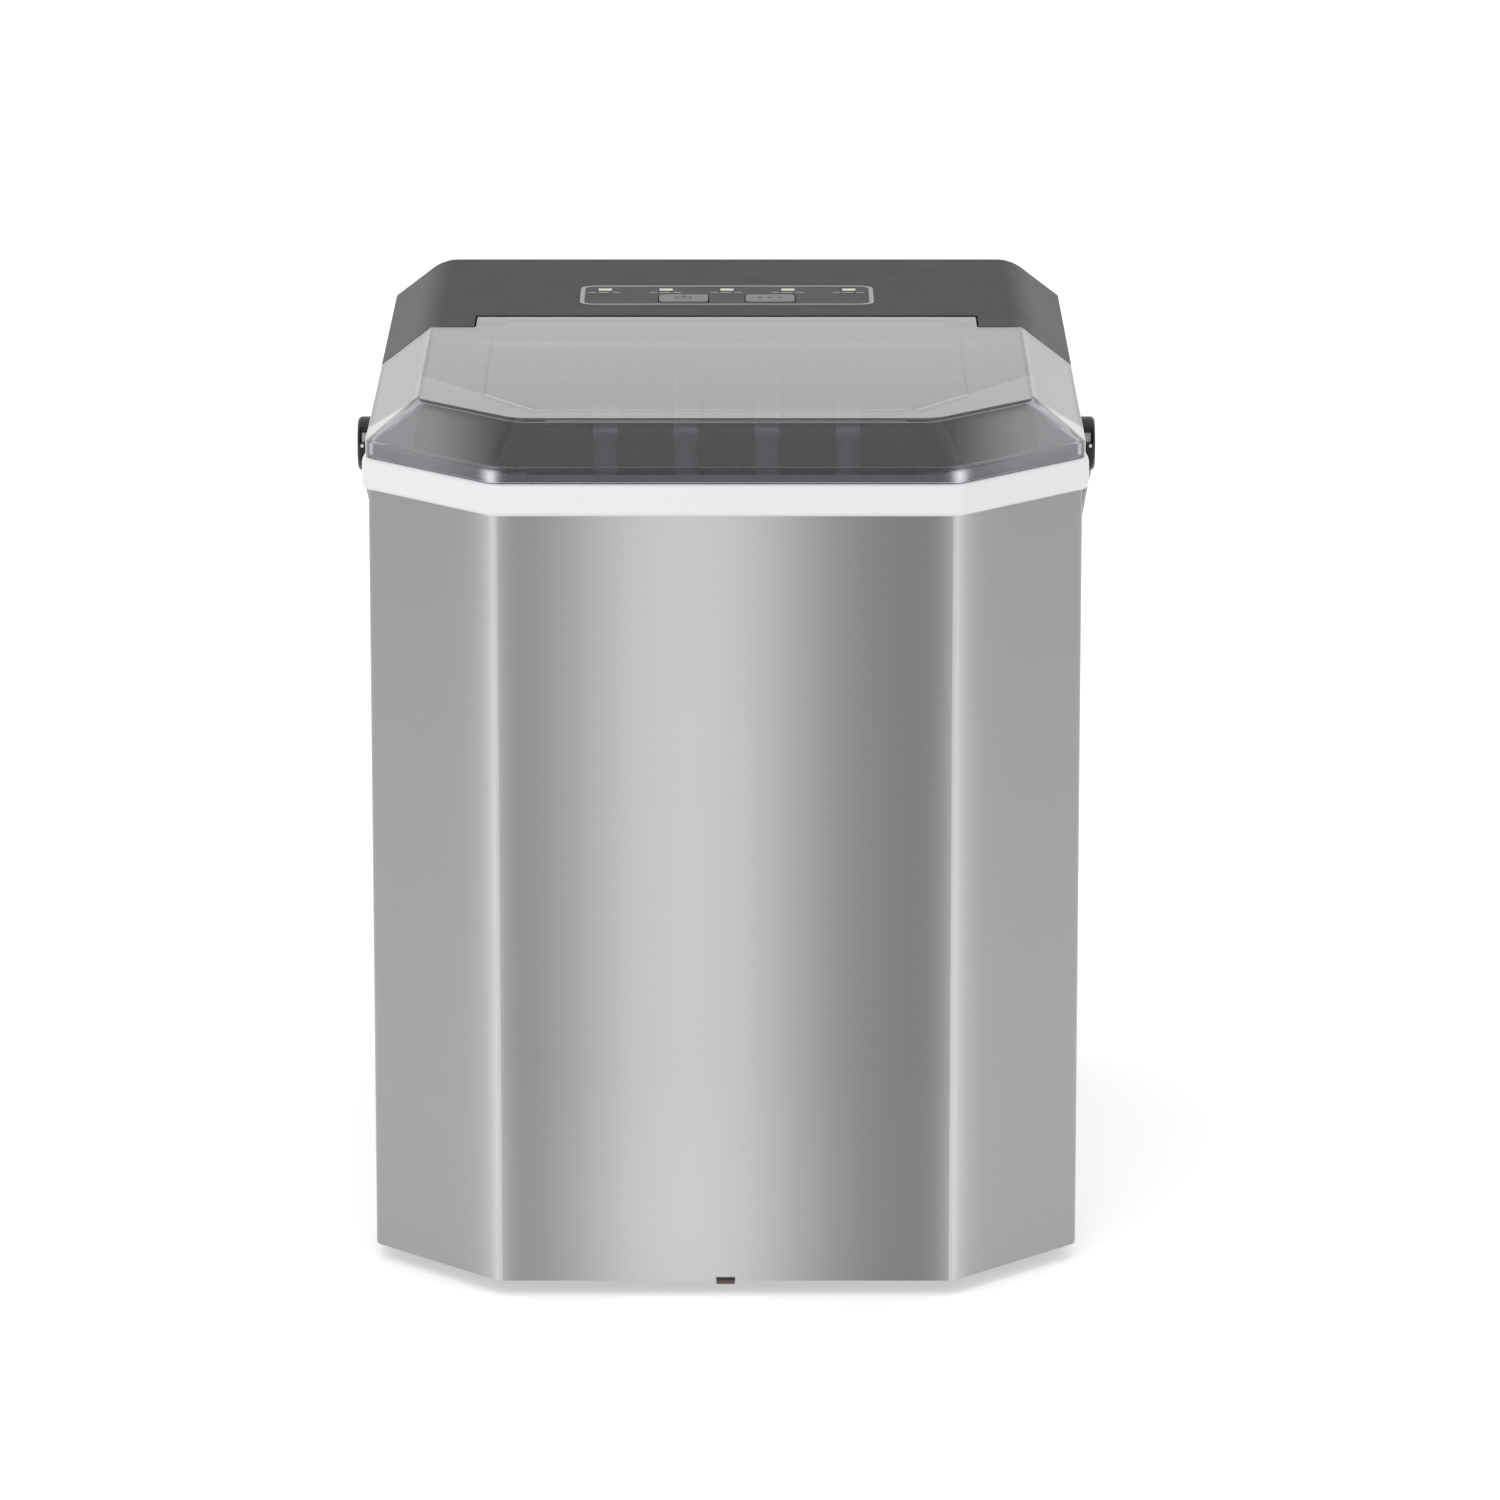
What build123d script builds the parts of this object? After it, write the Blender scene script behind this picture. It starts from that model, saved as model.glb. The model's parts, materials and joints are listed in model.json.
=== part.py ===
"""Countertop ice maker: a steel-wrapped cabinet with a clear lid, a bail handle and a nine-finger ice head.

Millimetres. +X right, the front faces -Y, +Z up. The origin is at the middle of the bounding box's base.
Depths are measured back from the cabinet's front plane and turned into Y by at_depth().
"""
import os
from math import cos, radians, sin, sqrt

from build123d import *

os.makedirs("parts", exist_ok=True)

# ---------------------------------------------------------------- driving dimensions
WIDTH = 224.0
DEPTH = 287.0
CHAMFER = 40.0
BEND_RADIUS = 5.0
STEEL = 0.9
FOOT_HEIGHT = 5.0
STEEL_TOP = 252.2
RIM_TOP = 262.5
LIP_TOP = 267.5
TOP = 280.0
RIM_PROUD = 2.0
RIM_FADE = 39.0
RIM_FLUSH = 56.0
FACET_RUN = 16.3
LID_INSET = -0.9
LID_WALL = 2.4
LIP_CORNER = 7.0
CROWN_CORNER = 11.0
LID_REAR = 163.0
COVER_WALL = 2.5
PANEL_THICK = 1.5
SCREW_SHANK_R = 1.5
SCREW_PLACES = [(x, z) for x in (-105, 105) for z in (16, 124, 240)]

# the lid's hinge, in the notch between the rear cover's two ears
TONGUE_HALF = 82.0
TONGUE_REAR = 182.0
HINGE_DEPTH = 177.5
HINGE_Z = 275.5
HINGE_PIN_R = 2.0
RUNNING_GAP = 0.05
NOTCH_GAP = 0.6

# the bail handle
PIVOT_DEPTH = 145.0
PIVOT_Z = 245.0
HUB_R = 8.8
HUB_OUTER_X = 120.0
HUB_CAP = 1.2
ARM_INNER_X = 115.7
ARM_THICK = 3.9
GRIP_R = 9.0
GRIP_DEPTH = DEPTH + 2.5 + GRIP_R
ARM_DROP_ANGLE = 24.0
ARM_REACH = (GRIP_DEPTH - PIVOT_DEPTH) / cos(radians(ARM_DROP_ANGLE))
GRIP_Z = PIVOT_Z - ARM_REACH * sin(radians(ARM_DROP_ANGLE))

# the well inside: a deep reservoir at the front and a shallow ice head chamber behind it
WELL_INSET = 14.0
WELL_WALL = 2.3
WELL_FLOOR = 62.3
RESERVOIR_REAR = 150.0
CHAMBER_FLOOR = 165.0
CHAMBER_REAR = 215.0
BASKET_INSET = 20.0
BASKET_REAR = 146.0
BASKET_FLOOR = 112.0
BASKET_TOP = 196.0
BASKET_WALL = 2.0

# the ice head: fingers that hang into a trough which tips about their middle
HEAD_DEPTH = 182.0
HEAD_Z = 226.0
TROUGH_R = 28.0
TROUGH_WALL = 2.5
TROUGH_HALF = 66.0
FINGER_R = 4.0
FINGER_PITCH = 26.6
MANIFOLD_LOW = 244.0
MANIFOLD_TOP = 249.4
BRIDGE_Z = 260.4
ROW_OFFSET = 10.0

# the control panel on the rear cover
PANEL_HALF = 49.0
PANEL_FRONT = 202.0
PANEL_REAR = 236.0
FILM = 0.6
BUTTON_X = 14.4
BUTTON_DEPTH = 212.0
BUTTON_W = 16.4
BUTTON_D = 12.4
LIGHT_PITCH = 20.4
LIGHT_DEPTH = 229.0

# the refrigeration compartment
FLOOR_TOP = FOOT_HEIGHT + 2.5
COMPRESSOR_X = -52.0
COMPRESSOR_DEPTH = 226.0
COMPRESSOR_R = 44.0
CAN_TOP = 138.0
SADDLE_Z = 257.0
FAN_DEPTH = 232.0
FAN_Z = 82.0
FAN_R = 38.0

FRONT_Y = -(GRIP_DEPTH + GRIP_R - RIM_PROUD) / 2


def at_depth(depth):
    """Y of a place that is depth behind the cabinet's front plane."""
    return FRONT_Y + depth


def plan(inset, rear, rear_inset=0.0):
    """Corner points of the cabinet's plan, drawn in by inset: chamfered in front, square behind."""
    half = WIDTH / 2 - inset
    leg = CHAMFER - inset * (2 - sqrt(2))
    front = at_depth(inset)
    back = at_depth(rear - rear_inset)
    return [(-half, back), (-half, front + leg), (-half + leg, front), (half - leg, front),
            (half, front + leg), (half, back)]


def finish(builder, name):
    """Label a finished piece and write its STEP file."""
    builder.part.label = name
    export_step(builder.part, f"parts/{name}.step")


def block(x0, x1, depth0, depth1, z0, z1, mode=Mode.ADD):
    """A box between two corners, in the builder that is open."""
    with Locations(((x0 + x1) / 2, at_depth((depth0 + depth1) / 2), (z0 + z1) / 2)):
        Box(x1 - x0, depth1 - depth0, z1 - z0, mode=mode)


def rod_x(x0, x1, depth, z, radius, mode=Mode.ADD):
    """A cylinder along X."""
    with BuildSketch(Plane.YZ.offset(x0)) as face:
        with Locations((at_depth(depth), z)):
            Circle(radius)
    extrude(face.sketch, amount=x1 - x0, mode=mode)


def rod_y(depth0, depth1, x, z, radius, mode=Mode.ADD):
    """A cylinder along Y."""
    with Locations((x, at_depth((depth0 + depth1) / 2), z)):
        Cylinder(radius, depth1 - depth0, rotation=(90, 0, 0), mode=mode)


def rod_z(z0, z1, x, depth, radius, mode=Mode.ADD):
    """An upright cylinder."""
    with Locations((x, at_depth(depth), (z0 + z1) / 2)):
        Cylinder(radius, z1 - z0, mode=mode)


def slab(points, z0, z1, mode=Mode.ADD, round_corners=0.0):
    """A plate with the given plan between two heights."""
    with BuildSketch(Plane.XY.offset(z0)) as face:
        with BuildLine():
            Polyline(*points, close=True)
        make_face()
        if round_corners:
            fillet(face.vertices().sort_by(Axis.Y)[:4], radius=round_corners)
    extrude(face.sketch, amount=z1 - z0, mode=mode)


def tube_run(points, radius, bend):
    """A round bar along straight runs joined by arcs. Points are (x, depth, z)."""
    with BuildLine() as path:
        FilletPolyline(*[(x, at_depth(d), z) for x, d, z in points], radius=bend)
    with BuildSketch(Plane(path.line @ 0, z_dir=path.line % 0)) as section:
        Circle(radius)
    sweep(section.sketch, path=path.line)


# ---------------------------------------------------------------- cabinet
with BuildPart() as outer_shell:
    slab(plan(0, DEPTH - PANEL_THICK), FOOT_HEIGHT, STEEL_TOP, round_corners=BEND_RADIUS)
    slab(plan(STEEL, DEPTH + 1), FOOT_HEIGHT - 1, STEEL_TOP + 1, Mode.SUBTRACT, BEND_RADIUS - STEEL)
    for side in (-1, 1):
        flange = sorted((side * (WIDTH / 2 - 12), side * (WIDTH / 2 - STEEL / 2)))
        block(*flange, DEPTH - PANEL_THICK - STEEL, DEPTH - PANEL_THICK, FOOT_HEIGHT + 3, STEEL_TOP - 8)
    # cooling slots through both sides, level with the condenser and the compressor
    with BuildSketch(Plane.YZ.offset(-WIDTH)):
        with Locations((at_depth(FAN_DEPTH), FAN_Z)):
            with GridLocations(7.0, 36.0, 11, 3):
                SlotOverall(28.0, 3.2, rotation=90)
    extrude(amount=2 * WIDTH, mode=Mode.SUBTRACT)
    for x, z in SCREW_PLACES:
        rod_y(DEPTH - 4, DEPTH + 1, x, z, SCREW_SHANK_R, Mode.SUBTRACT)
    # a small notch in the front's bottom edge, in front of the drain plug
    block(-3, 3, -1, STEEL + 1, FOOT_HEIGHT - 1, FOOT_HEIGHT + 1.2, Mode.SUBTRACT)
finish(outer_shell, "outer_shell")

with BuildPart() as rear_panel:
    block(-WIDTH / 2 + 1, WIDTH / 2 - 1, DEPTH - PANEL_THICK, DEPTH, FOOT_HEIGHT + 1, STEEL_TOP)
    fillet(rear_panel.edges().filter_by(Axis.Y), radius=4)
    # the air outlet's louvres
    with BuildSketch(Plane.XZ.offset(-at_depth(DEPTH + 1))):
        with Locations((COMPRESSOR_X + 4, 84)):
            with GridLocations(42.0, 8.0, 2, 12):
                SlotOverall(36.0, 3.4)
        with Locations((34, 205)):
            with GridLocations(30.0, 8.0, 3, 4):
                SlotOverall(24.0, 3.4)
        with Locations((70, 40)):
            Circle(8.05)
    extrude(amount=PANEL_THICK + 2, mode=Mode.SUBTRACT)
    for x, z in SCREW_PLACES:
        rod_y(DEPTH - 3, DEPTH + 1, x, z, SCREW_SHANK_R, Mode.SUBTRACT)
finish(rear_panel, "rear_panel")

with BuildPart() as base_plate:
    slab(plan(STEEL + 0.15, DEPTH - PANEL_THICK, 0.1), FOOT_HEIGHT, FLOOR_TOP, round_corners=BEND_RADIUS)
    rod_z(FOOT_HEIGHT - 1, FLOOR_TOP + 1, 0, 22, 9.0, Mode.SUBTRACT)
finish(base_plate, "base_plate")

with BuildPart() as feet:
    for x in (-78, 78):
        for depth in (46, 250):
            rod_z(0, FOOT_HEIGHT, x, depth, 9.5)
    chamfer(feet.edges().group_by(Axis.Z)[0], length=0.8)
finish(feet, "feet")

with BuildPart() as top_rim:
    slab(plan(-RIM_PROUD, DEPTH), STEEL_TOP, RIM_TOP, round_corners=BEND_RADIUS + 1)
    front_loops = top_rim.edges().group_by(Axis.Z)[-1] + top_rim.edges().group_by(Axis.Z)[0]
    fillet(front_loops.filter_by(lambda e: e.center().Y < at_depth(DEPTH) - 1), radius=2.0)
    # it stands proud in front and comes back flush along the sides
    for side in (-1, 1):
        wall = side * WIDTH / 2
        beyond = side * (WIDTH / 2 + RIM_PROUD + 1)
        slab([(beyond, at_depth(RIM_FADE)), (beyond, at_depth(DEPTH + 1)), (wall, at_depth(DEPTH + 1)),
              (wall, at_depth(RIM_FLUSH))], STEEL_TOP - 1, RIM_TOP + 1, Mode.SUBTRACT)
    slab(plan(WELL_INSET, CHAMBER_REAR), STEEL_TOP - 1, RIM_TOP + 1, Mode.SUBTRACT)
    block(-100, 100, CHAMBER_REAR + 7, DEPTH - 8, STEEL_TOP - 1, RIM_TOP + 1, Mode.SUBTRACT)
    # saddles in the cross bar for the two refrigerant pipes and the water hose
    for x, half in ((40, 4.5), (-40, 4.5), (-82, 6.0)):
        block(x - half, x + half, CHAMBER_REAR - 1, CHAMBER_REAR + 8, STEEL_TOP + 0.8, RIM_TOP + 1,
              Mode.SUBTRACT)
    # the skirt that plugs into the steel wrap
    slab(plan(STEEL + 0.3, DEPTH - 3), STEEL_TOP - 6, STEEL_TOP)
    slab(plan(STEEL + 2.1, DEPTH - 5), STEEL_TOP - 7, STEEL_TOP, Mode.SUBTRACT)
finish(top_rim, "top_rim")

with BuildPart() as inner_tub:
    slab(plan(WELL_INSET - WELL_WALL, RESERVOIR_REAR + WELL_WALL), WELL_FLOOR - WELL_WALL, STEEL_TOP)
    slab(plan(WELL_INSET - WELL_WALL, CHAMBER_REAR + WELL_WALL), CHAMBER_FLOOR - WELL_WALL, STEEL_TOP)
    slab(plan(STEEL + 2.6, CHAMBER_REAR + 5), STEEL_TOP - 2.5, STEEL_TOP)
    slab(plan(WELL_INSET, RESERVOIR_REAR), WELL_FLOOR, STEEL_TOP + 1, Mode.SUBTRACT)
    slab(plan(WELL_INSET, CHAMBER_REAR), CHAMBER_FLOOR, STEEL_TOP + 1, Mode.SUBTRACT)
    # ledges that carry the basket, two on each side
    for side in (-1, 1):
        for depth in (62, 128):
            ledge = sorted((side * (WIDTH / 2 - WELL_INSET - 9), side * (WIDTH / 2 - WELL_INSET + 0.5)))
            block(*ledge, depth - 7, depth + 7, BASKET_FLOOR - 5, BASKET_FLOOR)
    rod_z(WELL_FLOOR - 5, WELL_FLOOR + 1, 0, 30, 5.0, Mode.SUBTRACT)
finish(inner_tub, "inner_tub")

with BuildPart() as insulation_foam:
    slab(plan(STEEL + 0.6, RESERVOIR_REAR + WELL_WALL, 0.5), WELL_FLOOR - WELL_WALL + 8, CHAMBER_FLOOR - 6)
    slab(plan(WELL_INSET - WELL_WALL - 0.3, DEPTH), 0, STEEL_TOP, Mode.SUBTRACT)
finish(insulation_foam, "insulation_foam")

# ---------------------------------------------------------------- rear cover and its controls
facet_low = WIDTH / 2 - LID_INSET
facet_high = facet_low - FACET_RUN
EARS_FRONT = LID_REAR + 1.0
NOTCH_REAR = TONGUE_REAR + 1.3
EAR_WALL = 6.0


def cover_profile(inset):
    """Half-section points of the cover across its width, drawn in by inset."""
    low = facet_low - inset
    high = facet_high - inset * 0.55
    return [(-low, RIM_TOP), (-low, LIP_TOP - inset * 0.3), (-high, TOP - inset), (high, TOP - inset),
            (low, LIP_TOP - inset * 0.3), (low, RIM_TOP)]


def cover_bar(inset, depth0, depth1, mode=Mode.ADD, drop=0.0):
    """The cover's section run along its depth."""
    points = [(x, z - drop if z == RIM_TOP else z) for x, z in cover_profile(inset)]
    with BuildSketch(Plane.XZ.offset(-at_depth(depth0))) as section:
        with BuildLine():
            Polyline(*points, close=True)
        make_face()
    extrude(section.sketch, amount=-(depth1 - depth0), mode=mode)


with BuildPart() as rear_cover:
    cover_bar(0, EARS_FRONT, DEPTH)
    rear_edges = rear_cover.faces().sort_by(Axis.Y)[-1].edges()
    fillet(rear_edges.filter_by(lambda e: e.center().Z > RIM_TOP + 1), radius=3.0)
    top_face = rear_cover.faces().sort_by(Axis.Z)[-1]
    fillet(top_face.edges().filter_by(Axis.Y), radius=14.0)
    cover_bar(COVER_WALL, NOTCH_REAR + COVER_WALL, DEPTH - COVER_WALL - 1, Mode.SUBTRACT, drop=1)
    with BuildPart(mode=Mode.PRIVATE) as ear_room:
        cover_bar(COVER_WALL, EARS_FRONT + COVER_WALL, NOTCH_REAR + COVER_WALL + 1, drop=1)
        block(-TONGUE_HALF - NOTCH_GAP - EAR_WALL, TONGUE_HALF + NOTCH_GAP + EAR_WALL, 0, DEPTH,
              RIM_TOP - 5, TOP + 5, Mode.SUBTRACT)
    add(ear_room.part, mode=Mode.SUBTRACT)
    block(-TONGUE_HALF - NOTCH_GAP, TONGUE_HALF + NOTCH_GAP, EARS_FRONT - 1, NOTCH_REAR,
          RIM_TOP - 1, TOP + 1, Mode.SUBTRACT)
    rod_x(-TONGUE_HALF - 6, TONGUE_HALF + 6, HINGE_DEPTH, HINGE_Z, HINGE_PIN_R + RUNNING_GAP, Mode.SUBTRACT)
    # the recess for the control film, with holes for the buttons and lights under it
    with BuildSketch(Plane.XY.offset(TOP - FILM)):
        with Locations((0, at_depth((PANEL_FRONT + PANEL_REAR) / 2))):
            RectangleRounded(2 * PANEL_HALF, PANEL_REAR - PANEL_FRONT, 3.0)
    extrude(amount=FILM, mode=Mode.SUBTRACT)
    for x in (-BUTTON_X, BUTTON_X):
        block(x - BUTTON_W / 2 - 0.3, x + BUTTON_W / 2 + 0.3, BUTTON_DEPTH - BUTTON_D / 2 - 0.3,
              BUTTON_DEPTH + BUTTON_D / 2 + 0.3, TOP - 6, TOP + 1, Mode.SUBTRACT)
    for step in range(-2, 3):
        block(step * LIGHT_PITCH - 2.4, step * LIGHT_PITCH + 2.4, LIGHT_DEPTH - 2.0, LIGHT_DEPTH + 2.0,
              TOP - 6, TOP + 1, Mode.SUBTRACT)
    # posts that carry the control board
    for x in (-46, 46):
        for depth in (205, 238):
            rod_z(270.1, TOP - COVER_WALL, x, depth, 2.6)
finish(rear_cover, "rear_cover")

with BuildPart() as control_film:
    with BuildSketch(Plane.XY.offset(TOP - FILM)):
        with Locations((0, at_depth((PANEL_FRONT + PANEL_REAR) / 2))):
            RectangleRounded(2 * PANEL_HALF - 0.2, PANEL_REAR - PANEL_FRONT - 0.2, 2.9)
    extrude(amount=FILM)
    for x in (-BUTTON_X, BUTTON_X):
        block(x - BUTTON_W / 2 - 0.3, x + BUTTON_W / 2 + 0.3, BUTTON_DEPTH - BUTTON_D / 2 - 0.3,
              BUTTON_DEPTH + BUTTON_D / 2 + 0.3, TOP - 2, TOP + 1, Mode.SUBTRACT)
    for step in range(-2, 3):
        block(step * LIGHT_PITCH - 2.25, step * LIGHT_PITCH + 2.25, LIGHT_DEPTH - 1.85, LIGHT_DEPTH + 1.85,
              TOP - 2, TOP + 1, Mode.SUBTRACT)
finish(control_film, "control_film")

with BuildPart() as indicator_lights:
    for step in range(-2, 3):
        block(step * LIGHT_PITCH - 2.2, step * LIGHT_PITCH + 2.2, LIGHT_DEPTH - 1.8, LIGHT_DEPTH + 1.8,
              270.1, TOP)
finish(indicator_lights, "indicator_lights")

for name, x in (("power_button", -BUTTON_X), ("select_button", BUTTON_X)):
    with BuildPart() as button:
        block(x - BUTTON_W / 2, x + BUTTON_W / 2, BUTTON_DEPTH - BUTTON_D / 2, BUTTON_DEPTH + BUTTON_D / 2,
              TOP - 3.6, TOP + 0.5)
        fillet(button.edges().filter_by(Axis.Z), radius=2.4)
        fillet(button.edges().group_by(Axis.Z)[-1], radius=0.45)
        # the flange that keeps the cap under the cover, and the stem that presses the switch
        block(x - BUTTON_W / 2 - 1.2, x + BUTTON_W / 2 + 1.2, BUTTON_DEPTH - BUTTON_D / 2 - 1.2,
              BUTTON_DEPTH + BUTTON_D / 2 + 1.2, TOP - 4.6, TOP - 3.0)
        block(x - 2, x + 2, BUTTON_DEPTH - 2, BUTTON_DEPTH + 2, 274.4, TOP - 4.0)
    finish(button, name)

with BuildPart() as control_board:
    block(-51, 51, 201, 241, 268.5, 270.1)
    for x in (-BUTTON_X, BUTTON_X):
        block(x - 3, x + 3, BUTTON_DEPTH - 3, BUTTON_DEPTH + 3, 270.1, 272.4)
        rod_z(272.4, 273.2, x, BUTTON_DEPTH, 1.7)
    block(-44, -28, 228, 238, 266.0, 268.5)
    block(20, 30, 206, 212, 266.8, 268.5)
finish(control_board, "control_board")

# ---------------------------------------------------------------- lid
def lid_plan(inset, rear):
    """The lid's plan, drawn in from its lip by inset."""
    return plan(LID_INSET + inset, rear)


def lid_outline(inset, rear, height, corner):
    """The lid's plan as a face at a height, with its four front corners rounded."""
    with BuildSketch(Plane.XY.offset(height)) as face:
        with BuildLine():
            Polyline(*lid_plan(inset, rear), close=True)
        make_face()
        fillet(face.vertices().sort_by(Axis.Y)[:4], radius=corner)
    return face.sketch


def lid_dome(inset, low, lip, crown, rear, mode=Mode.ADD):
    """The lid's faceted body: an upright lip, a sloping facet all round and a flat top."""
    lip_face = lid_outline(inset, rear, lip, LIP_CORNER - inset * 0.5)
    crown_face = lid_outline(inset * 0.55 + FACET_RUN, rear, crown, CROWN_CORNER - inset * 0.5)
    extrude(lip_face, amount=low - lip, dir=(0, 0, 1), mode=mode)
    loft([lip_face, crown_face], ruled=True, mode=mode)


LID_LOW = RIM_TOP + 0.2
with BuildPart() as lid:
    lid_dome(0, LID_LOW, LIP_TOP, TOP, LID_REAR)
    lid_dome(LID_WALL, LID_LOW - 1, LIP_TOP - 0.7, TOP - LID_WALL, LID_REAR - LID_WALL, Mode.SUBTRACT)
    # a shallow step round the underside of the window
    slab([(-76, at_depth(150)), (-76, at_depth(53)), (-56, at_depth(28)), (56, at_depth(28)),
          (76, at_depth(53)), (76, at_depth(150))], TOP - LID_WALL - 0.1, TOP - LID_WALL + 0.6, Mode.SUBTRACT)
    # the tongue that reaches back between the rear cover's ears
    with BuildPart(mode=Mode.PRIVATE) as tongue:
        block(-TONGUE_HALF, TONGUE_HALF, LID_REAR - 6, TONGUE_REAR, HINGE_Z - 4.5, TOP)
        fillet(tongue.faces().sort_by(Axis.Y)[-1].edges().filter_by(Axis.X), radius=1.6)
    add(tongue.part)
    for side in (-1, 1):
        bore = sorted((side * (TONGUE_HALF - 10), side * (TONGUE_HALF + 1)))
        rod_x(*bore, HINGE_DEPTH, HINGE_Z, HINGE_PIN_R, Mode.SUBTRACT)
finish(lid, "lid")

with BuildPart() as lid_hinge_pins:
    for side in (-1, 1):
        span = sorted((side * (TONGUE_HALF - 10), side * (TONGUE_HALF + 5)))
        rod_x(*span, HINGE_DEPTH, HINGE_Z, HINGE_PIN_R)
finish(lid_hinge_pins, "lid_hinge_pins")

# ---------------------------------------------------------------- bail handle
arm_dir = (cos(radians(ARM_DROP_ANGLE)), -sin(radians(ARM_DROP_ANGLE)))
SCREW_R = 2.5
BOSS_R = 6.6

with BuildPart() as handle_brackets:
    for side in (-1, 1):
        plate = sorted((side * WIDTH / 2, side * (WIDTH / 2 + 1.6)))
        boss = sorted((side * WIDTH / 2, side * (HUB_OUTER_X - HUB_CAP - 0.15)))
        with BuildSketch(Plane.YZ.offset(plate[0])):
            with Locations((at_depth(PIVOT_DEPTH), PIVOT_Z - 5)):
                SlotOverall(32, 12.5, rotation=90)
        extrude(amount=plate[1] - plate[0])
        block(*plate, PIVOT_DEPTH - 8, PIVOT_DEPTH + 8, STEEL_TOP - 0.2, STEEL_TOP + 10, Mode.SUBTRACT)
        rod_x(*boss, PIVOT_DEPTH, PIVOT_Z, BOSS_R)
        rod_x(*boss, PIVOT_DEPTH, PIVOT_Z, SCREW_R, Mode.SUBTRACT)
finish(handle_brackets, "handle_brackets")

with BuildPart() as handle_hubs:
    for side in (-1, 1):
        body = sorted((side * (ARM_INNER_X - 1.1), side * HUB_OUTER_X))
        cavity = sorted((side * (ARM_INNER_X - 2), side * (HUB_OUTER_X - HUB_CAP)))
        window = sorted((side * (ARM_INNER_X - 2), side * (HUB_OUTER_X - 0.7)))
        head = sorted((side * (HUB_OUTER_X - 0.7), side * (HUB_OUTER_X + 1)))
        with BuildPart(mode=Mode.PRIVATE) as hub:
            rod_x(*body, PIVOT_DEPTH, PIVOT_Z, HUB_R)
            fillet(hub.faces().sort_by(Axis.X)[-1 if side > 0 else 0].edges(), radius=1.5)
            rod_x(*cavity, PIVOT_DEPTH, PIVOT_Z, BOSS_R + 0.3, Mode.SUBTRACT)
            # a window in front, where the bracket's boss shows behind a thin outer wall
            block(*window, PIVOT_DEPTH - HUB_R - 1, PIVOT_DEPTH - BOSS_R + 1.5, PIVOT_Z + 1.8, PIVOT_Z + 6.6,
                  Mode.SUBTRACT)
            rod_x(*body, PIVOT_DEPTH, PIVOT_Z, SCREW_R + RUNNING_GAP, Mode.SUBTRACT)
            rod_x(*head, PIVOT_DEPTH, PIVOT_Z, 4.4, Mode.SUBTRACT)
        add(hub.part)
finish(handle_hubs, "handle_hubs")

with BuildPart() as pivot_screws:
    for side in (-1, 1):
        shank = sorted((side * WIDTH / 2, side * (HUB_OUTER_X - 0.65)))
        head = sorted((side * (HUB_OUTER_X - 0.65), side * (HUB_OUTER_X - 0.05)))
        rod_x(*shank, PIVOT_DEPTH, PIVOT_Z, SCREW_R)
        rod_x(*head, PIVOT_DEPTH, PIVOT_Z, 4.1)
        slot_x = sorted((side * (HUB_OUTER_X - 0.4), side * HUB_OUTER_X))
        block(*slot_x, PIVOT_DEPTH - 3, PIVOT_DEPTH + 3, PIVOT_Z - 0.5, PIVOT_Z + 0.5, Mode.SUBTRACT)
        block(*slot_x, PIVOT_DEPTH - 0.5, PIVOT_DEPTH + 0.5, PIVOT_Z - 3, PIVOT_Z + 3, Mode.SUBTRACT)
finish(pivot_screws, "pivot_screws")


def arm_point(along, across):
    """(depth, z) of a point on the arm: along it from the pivot, and across it upward."""
    depth = PIVOT_DEPTH + along * arm_dir[0] - across * arm_dir[1]
    return depth, PIVOT_Z + along * arm_dir[1] + across * arm_dir[0]


with BuildPart() as handle_arms:
    outline = [(HUB_R - 1.2, -7.2), (HUB_R - 1.2, 7.2), (45, 5.6), (ARM_REACH - 6, 6.4), (ARM_REACH + 5, 5.4),
               (ARM_REACH + 7.5, 0), (ARM_REACH + 5, -5.4), (ARM_REACH - 6, -6.4), (45, -5.6)]
    for side in (-1, 1):
        span = sorted((side * ARM_INNER_X, side * (ARM_INNER_X + ARM_THICK)))
        with BuildPart(mode=Mode.PRIVATE) as arm:
            with BuildSketch(Plane.YZ.offset(span[0])):
                with BuildLine():
                    corners = [arm_point(*place) for place in outline]
                    Polyline(*[(at_depth(d), z) for d, z in corners], close=True)
                make_face()
            extrude(amount=span[1] - span[0])
            outer_face = arm.faces().sort_by(Axis.X)[-1 if side > 0 else 0]
            chamfer(outer_face.edges(), length=0.9)
            rod_x(span[0] - 1, span[1] + 1, PIVOT_DEPTH, PIVOT_Z, HUB_R + 0.02, Mode.SUBTRACT)
        add(arm.part)
finish(handle_arms, "handle_arms")

with BuildPart() as handle_grip:
    rod_x(-ARM_INNER_X, ARM_INNER_X, GRIP_DEPTH, GRIP_Z, GRIP_R)
    fillet(handle_grip.edges().filter_by(GeomType.CIRCLE), radius=2.5)
finish(handle_grip, "handle_grip")

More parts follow.
